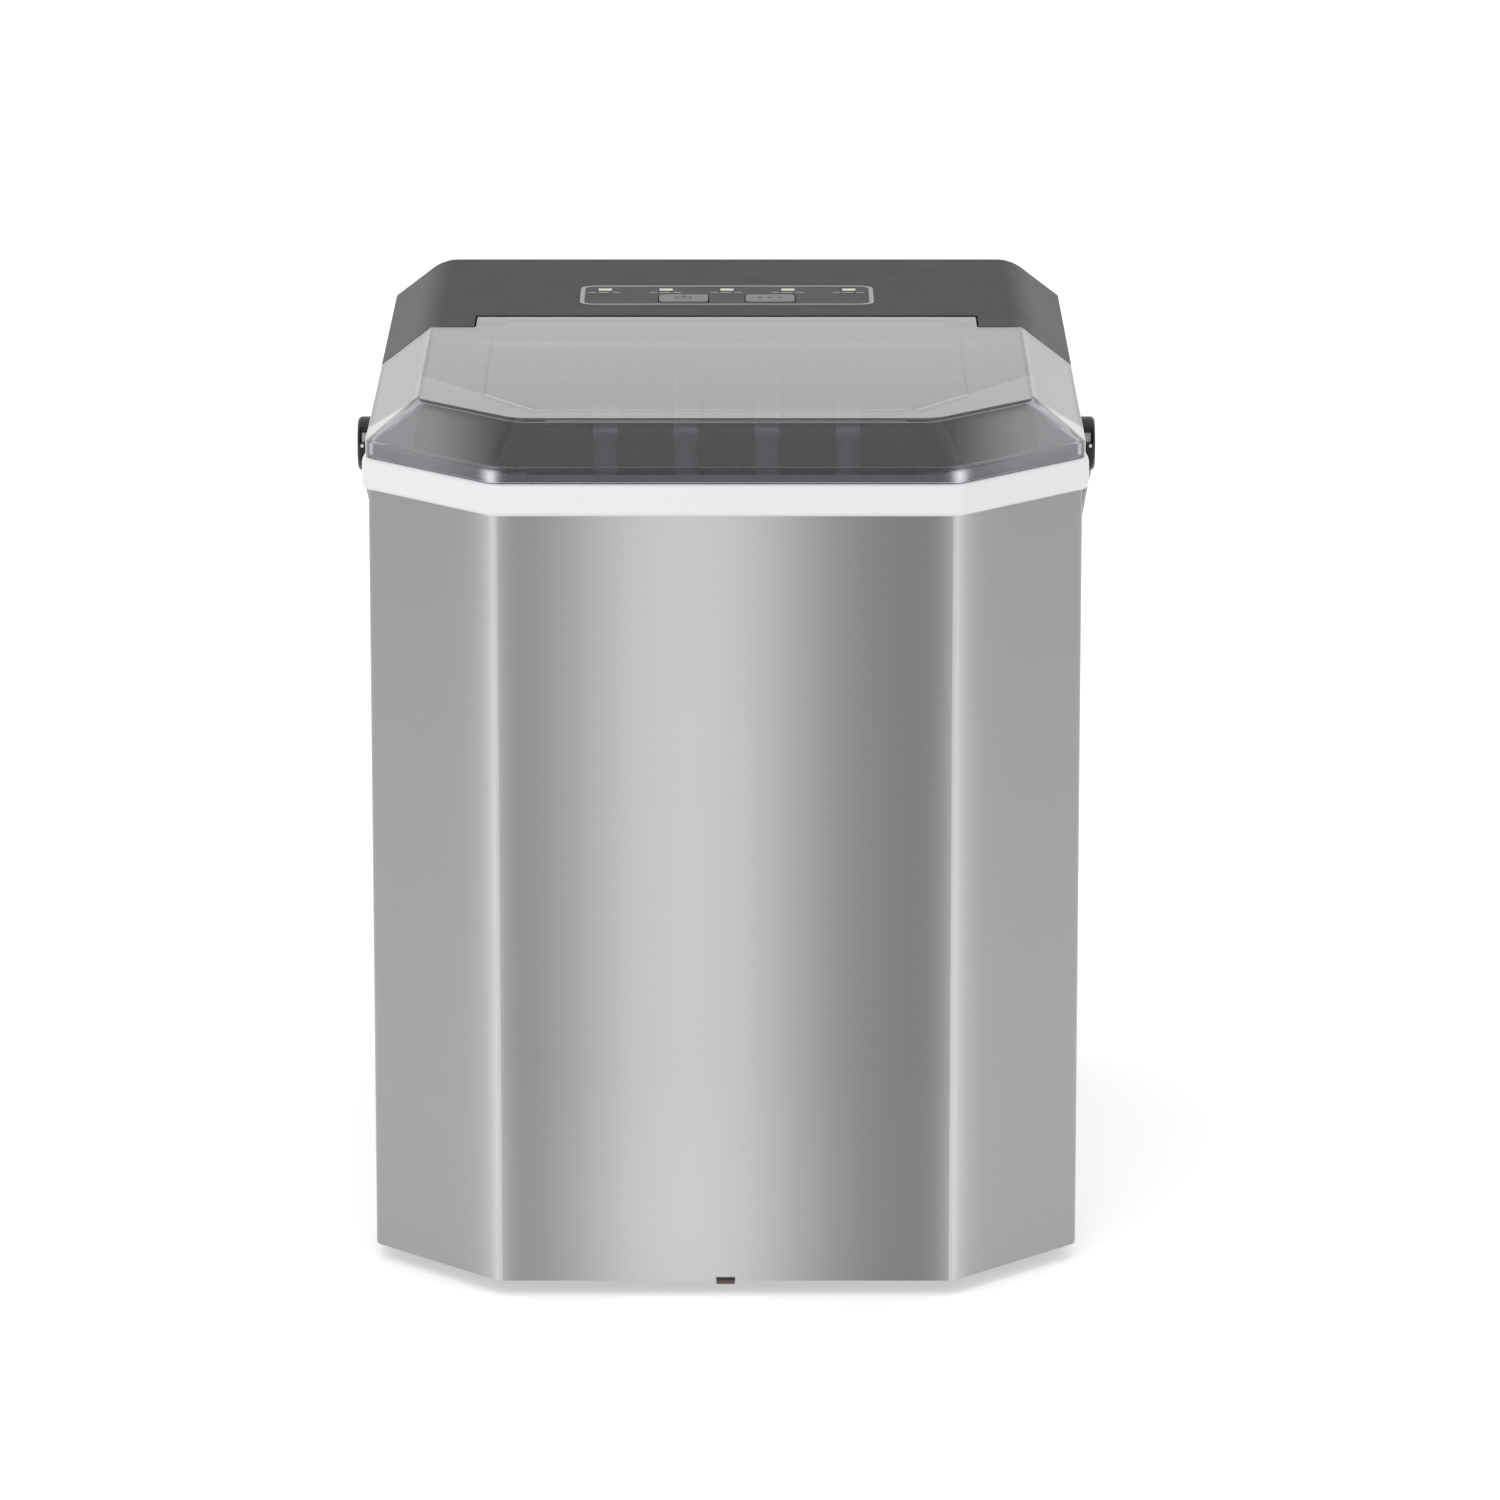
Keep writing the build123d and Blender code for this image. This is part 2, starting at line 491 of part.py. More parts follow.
# ---------------------------------------------------------------- ice basket
with BuildPart() as ice_basket:
    slab(plan(BASKET_INSET, BASKET_REAR), BASKET_FLOOR, BASKET_TOP)
    slab(plan(BASKET_INSET + BASKET_WALL, BASKET_REAR - BASKET_WALL), BASKET_FLOOR + BASKET_WALL,
         BASKET_TOP + 1, Mode.SUBTRACT)
    # the rim round the top
    slab(plan(BASKET_INSET - 2.5, BASKET_REAR + 1), BASKET_TOP - 2, BASKET_TOP)
    slab(plan(BASKET_INSET + BASKET_WALL, BASKET_REAR - BASKET_WALL), BASKET_TOP - 3, BASKET_TOP + 1,
         Mode.SUBTRACT)
    # drain slots in the floor and the walls
    with BuildSketch(Plane.XY.offset(BASKET_FLOOR - 1)):
        with Locations((0, at_depth(86))):
            with GridLocations(13.0, 44.0, 9, 2):
                SlotOverall(36.0, 4.0, rotation=90)
    extrude(amount=BASKET_WALL + 2, mode=Mode.SUBTRACT)
    with BuildSketch(Plane.XZ.offset(-at_depth(0))):
        with Locations((0, 160)):
            with GridLocations(12.0, 36.0, 9, 2):
                SlotOverall(28.0, 4.5, rotation=90)
    extrude(amount=-DEPTH, mode=Mode.SUBTRACT)
    with BuildSketch(Plane.YZ.offset(-WIDTH / 2)):
        with Locations((at_depth(94), 160)):
            with GridLocations(12.0, 36.0, 7, 2):
                SlotOverall(28.0, 4.5, rotation=90)
    extrude(amount=WIDTH, mode=Mode.SUBTRACT)
finish(ice_basket, "ice_basket")

# ---------------------------------------------------------------- ice head
finger_places = [(FINGER_PITCH * (i - 1.5), HEAD_DEPTH - ROW_OFFSET) for i in range(4)]
finger_places += [(FINGER_PITCH * (i - 2), HEAD_DEPTH + ROW_OFFSET) for i in range(5)]

with BuildPart() as evaporator:
    block(-62, 62, HEAD_DEPTH - 14, HEAD_DEPTH + 14, MANIFOLD_LOW, MANIFOLD_TOP)
    fillet(evaporator.edges().filter_by(Axis.X), radius=2.0)
    for x, depth in finger_places:
        rod_z(HEAD_Z - 16, MANIFOLD_LOW + 1, x, depth, FINGER_R)
        with Locations((x, at_depth(depth), HEAD_Z - 16)):
            Sphere(FINGER_R)
    # two studs that hang the head from the bridge
    for x in (-18, 18):
        rod_z(MANIFOLD_TOP - 1, BRIDGE_Z, x, HEAD_DEPTH - 8, 2.5)
finish(evaporator, "evaporator")

with BuildPart() as head_bridge:
    wall_x = WIDTH / 2 - WELL_INSET
    block(-wall_x, wall_x, HEAD_DEPTH - 12, HEAD_DEPTH - 4, BRIDGE_Z, BRIDGE_Z + 1.8)
    for side in (-1, 1):
        leg = sorted((side * (wall_x - 2), side * wall_x))
        block(*leg, HEAD_DEPTH - 12, HEAD_DEPTH - 4, STEEL_TOP - 12, BRIDGE_Z + 1.8)
finish(head_bridge, "head_bridge")


def trough_profile(radius, edge_angle):
    """Half-round section below the tipping axis, out to edge_angle each side of straight down."""
    tip = (radius * sin(radians(edge_angle)), -radius * cos(radians(edge_angle)))
    start = (at_depth(HEAD_DEPTH) - tip[0], HEAD_Z + tip[1])
    middle = (at_depth(HEAD_DEPTH), HEAD_Z - radius)
    end = (at_depth(HEAD_DEPTH) + tip[0], HEAD_Z + tip[1])
    ThreePointArc(start, middle, end)
    Line(end, start)


TROUGH_EDGE = 80
with BuildPart() as water_tray:
    with BuildSketch(Plane.YZ.offset(-TROUGH_HALF)):
        with BuildLine():
            trough_profile(TROUGH_R + TROUGH_WALL, TROUGH_EDGE)
        make_face()
    extrude(amount=2 * TROUGH_HALF)
    with BuildSketch(Plane.YZ.offset(-TROUGH_HALF + TROUGH_WALL)):
        with BuildLine():
            trough_profile(TROUGH_R, 89)
        make_face()
    extrude(amount=2 * (TROUGH_HALF - TROUGH_WALL), mode=Mode.SUBTRACT)
    for side in (-1, 1):
        cheek = sorted((side * (TROUGH_HALF - TROUGH_WALL), side * TROUGH_HALF))
        rod_x(*cheek, HEAD_DEPTH, HEAD_Z, 8)
finish(water_tray, "water_tray")

with BuildPart() as tray_shafts:
    rod_x(TROUGH_HALF, TROUGH_HALF + 10, HEAD_DEPTH, HEAD_Z, 3.0)
    rod_x(-TROUGH_HALF - 10, -TROUGH_HALF, HEAD_DEPTH, HEAD_Z, 3.0)
    block(TROUGH_HALF, TROUGH_HALF + 3, HEAD_DEPTH - 2.2, HEAD_DEPTH + 2.2, HEAD_Z - 13, HEAD_Z)
finish(tray_shafts, "tray_shafts")

with BuildPart() as tray_bearing:
    block(-TROUGH_HALF - 10, -TROUGH_HALF - 5, HEAD_DEPTH - 10, HEAD_DEPTH + 10, HEAD_Z - 9, HEAD_Z + 9)
    block(-98, -TROUGH_HALF - 5, HEAD_DEPTH - 10, HEAD_DEPTH - 6, HEAD_Z - 9, HEAD_Z + 9)
    rod_x(-TROUGH_HALF - 11, -TROUGH_HALF - 4, HEAD_DEPTH, HEAD_Z, 3.0 + RUNNING_GAP, Mode.SUBTRACT)
finish(tray_bearing, "tray_bearing")

with BuildPart() as tray_motor:
    block(TROUGH_HALF + 6, TROUGH_HALF + 24, HEAD_DEPTH - 16, HEAD_DEPTH + 16, HEAD_Z - 14, HEAD_Z + 14)
    fillet(tray_motor.edges().filter_by(Axis.X), radius=4)
    block(TROUGH_HALF + 24, WIDTH / 2 - WELL_INSET, HEAD_DEPTH - 6, HEAD_DEPTH + 6, HEAD_Z - 6, HEAD_Z + 6)
    rod_x(TROUGH_HALF + 5, TROUGH_HALF + 11, HEAD_DEPTH, HEAD_Z, 3.0 + RUNNING_GAP, Mode.SUBTRACT)
finish(tray_motor, "tray_motor")

with BuildPart() as ice_shovel:
    # a comb on the trough's front edge that sweeps the loosened ice forward as the trough tips
    for index in range(9):
        x = (index - 4) * 14.0
        with BuildPart(mode=Mode.PRIVATE) as tooth:
            block(x - 3, x + 3, HEAD_DEPTH - TROUGH_R - TROUGH_WALL - 1.6, HEAD_DEPTH - TROUGH_R - TROUGH_WALL,
                  HEAD_Z - 14, HEAD_Z - 4)
        add(tooth.part)
    block(-62, 62, HEAD_DEPTH - TROUGH_R - TROUGH_WALL - 1.6, HEAD_DEPTH - TROUGH_R - TROUGH_WALL,
          HEAD_Z - 14, HEAD_Z - 9)
finish(ice_shovel, "ice_shovel")

with BuildPart() as ice_sensors:
    for side in (-1, 1):
        eye = sorted((side * (WIDTH / 2 - WELL_INSET), side * (WIDTH / 2 - WELL_INSET - 2.4)))
        block(*eye, 120, 134, 203, 213)
    fillet(ice_sensors.edges().filter_by(Axis.X), radius=2)
finish(ice_sensors, "ice_sensors")

with BuildPart() as level_float:
    rod_z(WELL_FLOOR, WELL_FLOOR + 26, 70, 136, 2.0)
    rod_z(WELL_FLOOR + 9, WELL_FLOOR + 21, 70, 136, 7.0)
finish(level_float, "level_float")

# ---------------------------------------------------------------- water circuit
with BuildPart() as drain_fitting:
    rod_z(FLOOR_TOP, FLOOR_TOP + 3, 0, 22, 12)
    rod_z(FLOOR_TOP - 1, FLOOR_TOP + 12, 0, 22, 8.8)
    rod_z(FLOOR_TOP - 2, FLOOR_TOP + 9, 0, 22, 6.5, Mode.SUBTRACT)
finish(drain_fitting, "drain_fitting")

with BuildPart() as drain_hose:
    tube_run([(0, 30, WELL_FLOOR - WELL_WALL), (0, 30, 42), (0, 22, 34), (0, 22, FLOOR_TOP + 12)], 4.5, 7)
finish(drain_hose, "drain_hose")

with BuildPart() as drain_plug:
    rod_z(1.2, FOOT_HEIGHT - 0.3, 0, 22, 11.0)
    chamfer(drain_plug.edges().group_by(Axis.Z)[0], length=0.8)
    rod_z(FOOT_HEIGHT - 0.5, FLOOR_TOP + 6, 0, 22, 6.2)
    block(-2.9, 2.9, 1.6, 14, 3.4, FOOT_HEIGHT - 0.3)
finish(drain_plug, "drain_plug")

with BuildPart() as water_pump:
    rod_z(FLOOR_TOP + 6, FLOOR_TOP + 34, 30, 130, 17)
    rod_z(FLOOR_TOP + 34, FLOOR_TOP + 40, 30, 130, 9)
    block(10, 50, 110, 150, FLOOR_TOP, FLOOR_TOP + 6)
    rod_y(144, 162, 30, FLOOR_TOP + 20, 4.5)
finish(water_pump, "water_pump")

with BuildPart() as pump_hose:
    tube_run([(30, 162, FLOOR_TOP + 20), (30, 176, FLOOR_TOP + 20), (24, 180, 90), (-10, 226, 158),
              (-72, 228, 176), (-82, 228, SADDLE_Z), (-82, 204, SADDLE_Z), (-50, 200, SADDLE_Z)], 3.5, 7)
finish(pump_hose, "pump_hose")

# ---------------------------------------------------------------- refrigeration
with BuildPart() as compressor_mounts:
    for dx in (-34, 34):
        for dd in (-34, 34):
            rod_z(FLOOR_TOP, FLOOR_TOP + 7, COMPRESSOR_X + dx, COMPRESSOR_DEPTH + dd, 7)
finish(compressor_mounts, "compressor_mounts")

with BuildPart() as compressor:
    block(COMPRESSOR_X - 42, COMPRESSOR_X + 42, COMPRESSOR_DEPTH - 42, COMPRESSOR_DEPTH + 42,
          FLOOR_TOP + 7, FLOOR_TOP + 10)
    fillet(compressor.edges().filter_by(Axis.Z), radius=8)
    with BuildPart(mode=Mode.PRIVATE) as can:
        rod_z(FLOOR_TOP + 10, CAN_TOP, COMPRESSOR_X, COMPRESSOR_DEPTH, COMPRESSOR_R)
        fillet(can.edges().group_by(Axis.Z)[-1], radius=20)
        rod_z(76, 80, COMPRESSOR_X, COMPRESSOR_DEPTH, COMPRESSOR_R + 2)
    add(can.part)
    block(COMPRESSOR_X + 38, COMPRESSOR_X + 54, COMPRESSOR_DEPTH - 20, COMPRESSOR_DEPTH + 8, 48, 74)
finish(compressor, "compressor")

with BuildPart() as condenser:
    for step in range(17):
        depth = 190 + step * 5.2
        block(90, 108, depth - 0.4, depth + 0.4, 26, 138)
    for z in (42, 68, 96, 122):
        rod_y(186, 278, 99, z, 3.2)
    for depth in (186, 278):
        block(88, 110, depth - 1, depth + 1, 26, 138)
    block(88, 110, 186, 278, 24, 26)
finish(condenser, "condenser")

with BuildPart() as fan_shroud:
    block(84, 86.5, 186, 278, 26, 138)
    rod_x(62, 86.5, FAN_DEPTH, FAN_Z, FAN_R + 4)
    rod_x(60, 88, FAN_DEPTH, FAN_Z, FAN_R + 2, Mode.SUBTRACT)
    block(86.5, 88, 186, 190, 26, 138)
    block(86.5, 88, 274, 278, 26, 138)
finish(fan_shroud, "fan_shroud")

with BuildPart() as fan_blade:
    rod_x(64, 80, FAN_DEPTH, FAN_Z, 12)
    fillet(fan_blade.faces().sort_by(Axis.X)[-1].edges(), radius=3)
    for index in range(7):
        with BuildPart(Plane.YZ.offset(72), mode=Mode.PRIVATE) as blade:
            with Locations(Location((at_depth(FAN_DEPTH), FAN_Z, 0), (0, 0, index * 360 / 7))):
                with Locations(Location((23.5, 0, 0), (32, 0, 0))):
                    Box(27, 17, 1.4)
        add(blade.part)
    rod_x(62, 74, FAN_DEPTH, FAN_Z, 2.05, Mode.SUBTRACT)
finish(fan_blade, "fan_blade")

with BuildPart() as fan_motor:
    rod_x(38, 60, FAN_DEPTH, FAN_Z, 15)
    fillet(fan_motor.edges().filter_by(GeomType.CIRCLE), radius=2)
    rod_x(60, 73, FAN_DEPTH, FAN_Z, 2.0)
    block(42, 50, FAN_DEPTH - 18, FAN_DEPTH + 18, FLOOR_TOP, FAN_Z - 9)
finish(fan_motor, "fan_motor")

with BuildPart() as filter_dryer:
    rod_z(60, 118, 22, 262, 8)
    fillet(filter_dryer.edges().filter_by(GeomType.CIRCLE), radius=3)
    rod_z(118, 128, 22, 262, 3)
    rod_z(50, 60, 22, 262, 3)
finish(filter_dryer, "filter_dryer")

with BuildPart() as discharge_pipe:
    tube_run([(COMPRESSOR_X, COMPRESSOR_DEPTH - 20, CAN_TOP), (COMPRESSOR_X, COMPRESSOR_DEPTH - 20, 154),
              (30, COMPRESSOR_DEPTH - 20, 154), (99, 212, 154), (99, 212, 139)], 3.0, 8)
finish(discharge_pipe, "discharge_pipe")

with BuildPart() as suction_pipe:
    tube_run([(40, HEAD_DEPTH - 8, MANIFOLD_TOP), (40, HEAD_DEPTH - 8, SADDLE_Z), (40, 229, SADDLE_Z),
              (40, 229, 215), (-40, 240, 190), (-40, 240, CAN_TOP)], 2.6, 5.5)
finish(suction_pipe, "suction_pipe")

with BuildPart() as capillary_tube:
    tube_run([(-40, HEAD_DEPTH - 8, MANIFOLD_TOP), (-40, HEAD_DEPTH - 8, SADDLE_Z), (-40, 226, SADDLE_Z),
              (-40, 226, 236), (22, 250, 200), (22, 262, 170), (22, 262, 128)], 1.4, 5.5)
finish(capillary_tube, "capillary_tube")

with BuildPart() as hot_gas_valve:
    rod_z(176, 196, 76, 250, 6)
    block(64, 88, 238, 262, 196, 220)
    fillet(hot_gas_valve.edges().filter_by(Axis.Z), radius=2)
finish(hot_gas_valve, "hot_gas_valve")

with BuildPart() as main_board:
    block(-66, 30, 276, 277.6, 176, 240)
    block(-56, -30, 262, 276, 190, 214)
    block(-20, -4, 266, 276, 196, 226)
    block(4, 22, 268, 276, 182, 200)
    for x in (-58, 22):
        for z in (180, 236):
            rod_y(277.6, DEPTH - PANEL_THICK, x, z, 3)
finish(main_board, "main_board")

with BuildPart() as cord_gland:
    rod_y(DEPTH - PANEL_THICK - 6, DEPTH, 70, 40, 8.0)
    rod_y(DEPTH, DEPTH + 1.6, 70, 40, 10.0)
    rod_y(DEPTH - PANEL_THICK - 7, DEPTH + 2, 70, 40, 3.6, Mode.SUBTRACT)
finish(cord_gland, "cord_gland")

with BuildPart() as panel_screws:
    for x, z in SCREW_PLACES:
        rod_y(DEPTH - 6, DEPTH, x, z, SCREW_SHANK_R)
        rod_y(DEPTH, DEPTH + 1.5, x, z, 3.2)
finish(panel_screws, "panel_screws")

box = Compound(children=[outer_shell.part, top_rim.part, rear_cover.part, lid.part, handle_grip.part,
                         handle_hubs.part, feet.part]).bounding_box()
print("box", box.min, box.max)
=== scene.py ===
"""Countertop ice maker: finishes and fine pieces round its frame. Metres, +X right, front -Y, +Z up."""
import json
import math

import bpy
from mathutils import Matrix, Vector


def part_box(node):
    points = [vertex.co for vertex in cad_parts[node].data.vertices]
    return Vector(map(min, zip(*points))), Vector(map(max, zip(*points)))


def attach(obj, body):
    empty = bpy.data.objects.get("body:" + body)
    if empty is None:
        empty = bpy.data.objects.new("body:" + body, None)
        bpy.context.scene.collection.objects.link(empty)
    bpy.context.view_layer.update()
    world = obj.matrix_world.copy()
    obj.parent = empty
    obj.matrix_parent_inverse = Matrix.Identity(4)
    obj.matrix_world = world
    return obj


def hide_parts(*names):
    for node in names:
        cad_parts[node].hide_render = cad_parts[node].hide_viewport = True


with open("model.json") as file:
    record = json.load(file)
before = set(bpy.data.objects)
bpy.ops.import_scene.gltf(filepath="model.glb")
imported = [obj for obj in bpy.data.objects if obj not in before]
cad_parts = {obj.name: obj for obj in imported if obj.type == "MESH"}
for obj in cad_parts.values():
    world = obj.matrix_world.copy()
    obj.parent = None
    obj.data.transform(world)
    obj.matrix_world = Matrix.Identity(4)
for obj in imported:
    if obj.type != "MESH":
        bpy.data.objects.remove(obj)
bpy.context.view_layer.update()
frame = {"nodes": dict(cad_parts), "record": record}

BODY_OF = {node: body for body, nodes in frame["record"]["behaviour"]["bodies"].items() for node in nodes}
MM = 0.001

# ---------------------------------------------------------------- places on the machine
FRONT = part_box("outer_shell")[0].y
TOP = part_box("rear_cover")[1].z
LIP_TOP = TOP - 12.5 * MM       # where the lid's upright lip meets its facets
BEND = 72 * MM                  # half the flat front; the wrap and the lid turn to their corner facets here

# the lid's window: its front line's depth and half width, and how fast its corners slant back
WINDOW_FRONT = 28 * MM
WINDOW_FRONT_HALF = 60 * MM
WINDOW_SLANT = 1.5
WINDOW_CORNER = 24 * MM         # how far back the line's corners run


# ---------------------------------------------------------------- camera
def add_camera():
    """A long lens a little above level and a little to the right of the middle."""
    pitch = math.radians(13.9)
    distance = 2.736
    aim = Vector((7.7 * MM, FRONT + 143.5 * MM, 142.3 * MM))
    back = Vector((0, -math.cos(pitch), math.sin(pitch)))
    lens = bpy.data.cameras.new("camera")
    lens.sensor_width = 36
    lens.lens = 199.65
    lens.clip_end = 50
    camera = bpy.data.objects.new("camera", lens)
    camera.location = aim + back * distance
    camera.rotation_euler = (math.radians(90) - pitch, 0, 0)
    bpy.context.scene.collection.objects.link(camera)
    bpy.context.scene.camera = camera


add_camera()


# ---------------------------------------------------------------- shader expressions
class Wire:
    """A node socket that adds Math nodes when it is used in an expression."""

    def __init__(self, tree, socket):
        self.tree = tree
        self.socket = socket

    def maths(self, operation, *others):
        sockets = dict(enumerate((self, *others)))
        return Shader.node_of(self.tree, "ShaderNodeMath", {"operation": operation}, sockets)

    def __add__(self, other):
        return self.maths("ADD", other)

    __radd__ = __add__

    def __mul__(self, other):
        return self.maths("MULTIPLY", other)

    __rmul__ = __mul__

    def __sub__(self, other):
        return self.maths("SUBTRACT", other)

    def __rsub__(self, other):
        return (self * -1.0) + other

    def __truediv__(self, other):
        return self.maths("DIVIDE", other)

    def __pow__(self, other):
        return self.maths("POWER", other)

    def __lt__(self, other):
        return self.maths("LESS_THAN", other)

    def size(self):
        return self.maths("ABSOLUTE")

    def clamped(self):
        return self.maths("MAXIMUM", 0.0).maths("MINIMUM", 1.0)

    def falloff(self):
        """1 where the wire is 0, sinking by a factor of e for every unit it grows."""
        return (self * -1.0).maths("EXPONENT")


def set_socket(tree, socket, value):
    """Link a wire to a socket, or set the socket's own value."""
    if isinstance(value, Wire):
        tree.links.new(value.socket, socket)
    else:
        socket.default_value = value


class Shader:
    """One procedural material on a Principled BSDF."""

    def __init__(self, name, **values):
        self.material = bpy.data.materials.new(name)
        self.material.use_nodes = True
        self.tree = self.material.node_tree
        self.surface = self.tree.nodes["Principled BSDF"]
        self.set(**values)

    @staticmethod
    def node_of(tree, kind, settings=None, sockets=None, output=0):
        node = tree.nodes.new(kind)
        for key, value in (settings or {}).items():
            setattr(node, key, value)
        for key, value in (sockets or {}).items():
            set_socket(tree, node.inputs[key], value)
        return Wire(tree, node.outputs[output])

    def node(self, kind, settings=None, sockets=None, output=0):
        return self.node_of(self.tree, kind, settings, sockets, output)

    def set(self, **values):
        for key, value in values.items():
            label = key.replace("_", " ").title().replace("Ior", "IOR")
            if label == "Base Color" and not isinstance(value, Wire):
                value = (*value, 1)
            set_socket(self.tree, self.surface.inputs[label], value)

    def place(self):
        return self.node("ShaderNodeTexCoord", output="Object")

    def axes(self):
        split = self.tree.nodes.new("ShaderNodeSeparateXYZ")
        self.tree.links.new(self.place().socket, split.inputs[0])
        return [Wire(self.tree, out) for out in split.outputs]

    def noise(self, scale, stretch=(1, 1, 1), detail=3.0, roughness=0.5):
        spread = self.node("ShaderNodeMapping", sockets={"Vector": self.place(), "Scale": stretch})
        return self.node("ShaderNodeTexNoise", sockets={
            "Vector": spread, "Scale": scale, "Detail": detail, "Roughness": roughness})

    def mix(self, factor, *colours):
        first, second = ((*colour, 1) if isinstance(colour, tuple) else colour for colour in colours)
        return self.node("ShaderNodeMix", {"data_type": "RGBA"}, {0: factor, 6: first, 7: second}, output=2)

    def bump(self, height, distance):
        sockets = {"Height": height, "Distance": distance, "Strength": 1.0}
        self.set(normal=self.node("ShaderNodeBump", sockets=sockets))

    def grey(self, value):
        return self.node("ShaderNodeCombineColor", sockets={0: value, 1: value, 2: value})


def shade(colour, gain):
    return tuple(min(1.0, channel * gain) for channel in colour)


# ---------------------------------------------------------------- finishes
def moulded(name, colour, roughness, grain=900.0, depth=0.02, spread=0.12, painted_flank_light=1.0, **more):
    """Moulded plastic: fine grain, slightly uneven gloss and tone; a flank gain above 1 paints its sloping
    sides lighter, as painted light.
    """
    painted_flank_from, painted_flank_run = 94 * MM, 9 * MM
    paint = Shader(name, **more)
    tone = paint.noise(14.0, detail=2.0)
    fine = paint.noise(grain, detail=2.0)
    skin = paint.mix(tone, shade(colour, 1 - spread), shade(colour, 1 + spread))
    # painted light: the sloping sides beyond the flank's start are painted lighter, as if lit more
    if painted_flank_light > 1:
        x, _, _ = paint.axes()
        skin = paint.mix(((x.size() - painted_flank_from) / painted_flank_run).clamped(), skin, shade(colour, painted_flank_light))
    paint.set(base_color=skin)
    paint.set(roughness=roughness - 0.05 + 0.10 * paint.noise(60.0))
    paint.bump(fine, depth * MM)
    return paint.material


def brushed_wrap_painted_sheen():
    """Satin stainless, brushed across, with painted light in its colour: a soft painted sheen down the front,
    painted highlights on the bends, a front painted lighter towards its foot, and corner facets at a painted
    level that darkens towards the top.
    """
    painted_sheen_middle, painted_sheen_width, painted_sheen_power = -12 * MM, 41 * MM, 2.3
    painted_sheen_floor, painted_sheen_gain = 0.172, 0.322
    painted_chamfer_foot, painted_chamfer_fall = 0.342, 0.19
    painted_bend_width, painted_bend_gain = 3.4 * MM, 0.25
    painted_foot_height, painted_foot_gain = 75 * MM, 0.11

    steel = Shader("brushed_wrap_painted_sheen", metallic=1.0)
    x, _, z = steel.axes()
    # painted sheen: a soft band of painted reflection down the front, lightest a little left of the middle
    painted_sheen = (((x - painted_sheen_middle) / painted_sheen_width).size() ** painted_sheen_power).falloff()
    on_front = x.size() < BEND - 1.5 * MM
    front = painted_sheen_floor + painted_sheen * painted_sheen_gain
    # painted shade: the corner facets take their own painted level, darker towards the top
    painted_chamfer_level = painted_chamfer_foot - z * painted_chamfer_fall
    face = on_front * front + (1 - on_front) * painted_chamfer_level
    # painted highlight down each bend between the flat front and a corner facet
    painted_bend_highlight = ((x.size() - BEND) / painted_bend_width).size().falloff()
    # painted light: the flat front is painted lighter towards its foot
    painted_foot_light = (1 - z / painted_foot_height).clamped() * painted_foot_gain
    lines = steel.noise(260.0, (0.02, 0.02, 9.0), 4.0, 0.62)
    drift = steel.noise(5.0, (0.6, 0.6, 1.0), 2.0)
    value = (face + painted_bend_highlight * painted_bend_gain) * (0.93 + lines * 0.10 + drift * 0.04) * (1 + on_front * painted_foot_light)
    # the base colour carries all the painted light above, laid over the brushed grain and its random drift
    steel.set(base_color=steel.grey(value))
    steel.set(roughness=0.27 + lines * 0.14)
    steel.bump(lines, 0.012 * MM)
    return steel.material


def plated(name, colour, roughness, brushed=0.0):
    """Bare or plated metal with a fine drawn grain."""
    metal = Shader(name, metallic=1.0)
    grain = metal.noise(500.0, (1.0, 0.12, 1.0), 3.0)
    blot = metal.noise(30.0)
    metal.set(base_color=metal.mix(blot, shade(colour, 0.86), shade(colour, 1.06)))
    metal.set(roughness=roughness + grain * (0.08 + brushed))
    metal.bump(grain, 0.006 * MM)
    return metal.material


def smoke_clear():
    """Smoke-tinted clear moulding; its corner facets carry a brighter polish than the front one, and a
    painted highlight runs down the lip at each front corner.
    """
    edge = 1.5 * MM                             # the run over which one zone's polish gives way to the next
    facet_from, facet_run = 70 * MM, 22 * MM
    facet_depth, facet_fade = 12 * MM, 4 * MM
    lip_depth, lip_fade, lip_loss = 60 * MM, 4 * MM, 0.35
    crown_floor, crown_slope, border_polish = 0.02, 1.3, 0.22
    painted_glint_middle, painted_glint_width = BEND + 0.5 * MM, 2.6 * MM

    clear = Shader("smoke_clear", transmission_weight=1.0, ior=1.49, coat_ior=2.1, coat_roughness=0.06)
    haze = clear.noise(90.0, detail=2.0)
    wisp = clear.noise(7.0, (1.0, 1.0, 0.4), 2.0)
    x, y, z = clear.axes()
    depth = y - FRONT
    from_corner = (depth - x.size() + BEND) * math.sqrt(0.5)
    outward = ((x.size() - facet_from) / facet_run).clamped()
    shallow = (1 - (from_corner - facet_depth) / facet_fade).clamped()
    below_crown = ((TOP - z) / edge).clamped()
    beside = (x.size() - WINDOW_FRONT_HALF).maths("MAXIMUM", 0.0) * WINDOW_SLANT
    border = ((WINDOW_FRONT + 1 * MM - (depth - beside)) / edge).clamped()
    crown = (1 - below_crown) * (crown_floor + depth * crown_slope + border * border_polish)
    on_lip = ((LIP_TOP - z) / edge).clamped() * ((lip_depth - depth) / lip_fade).clamped()
    clear.set(coat_weight=outward * shallow * below_crown * (1 - on_lip * lip_loss) + crown)
    # painted highlight: a pale, part-metallic streak down the lip at each front corner, standing for a
    # reflection
    from_bend = (x.size() - painted_glint_middle) / painted_glint_width
    painted_glint = (from_bend * from_bend).falloff() * on_lip
    smoke = clear.mix(wisp, (0.31, 0.32, 0.355), (0.35, 0.36, 0.395))
    clear.set(base_color=clear.mix(painted_glint, smoke, (0.90, 0.90, 0.91)))
    clear.set(metallic=painted_glint * 0.5)
    clear.set(roughness=0.015 + haze * 0.03)
    clear.bump(wisp, 0.01 * MM)
    return clear.material


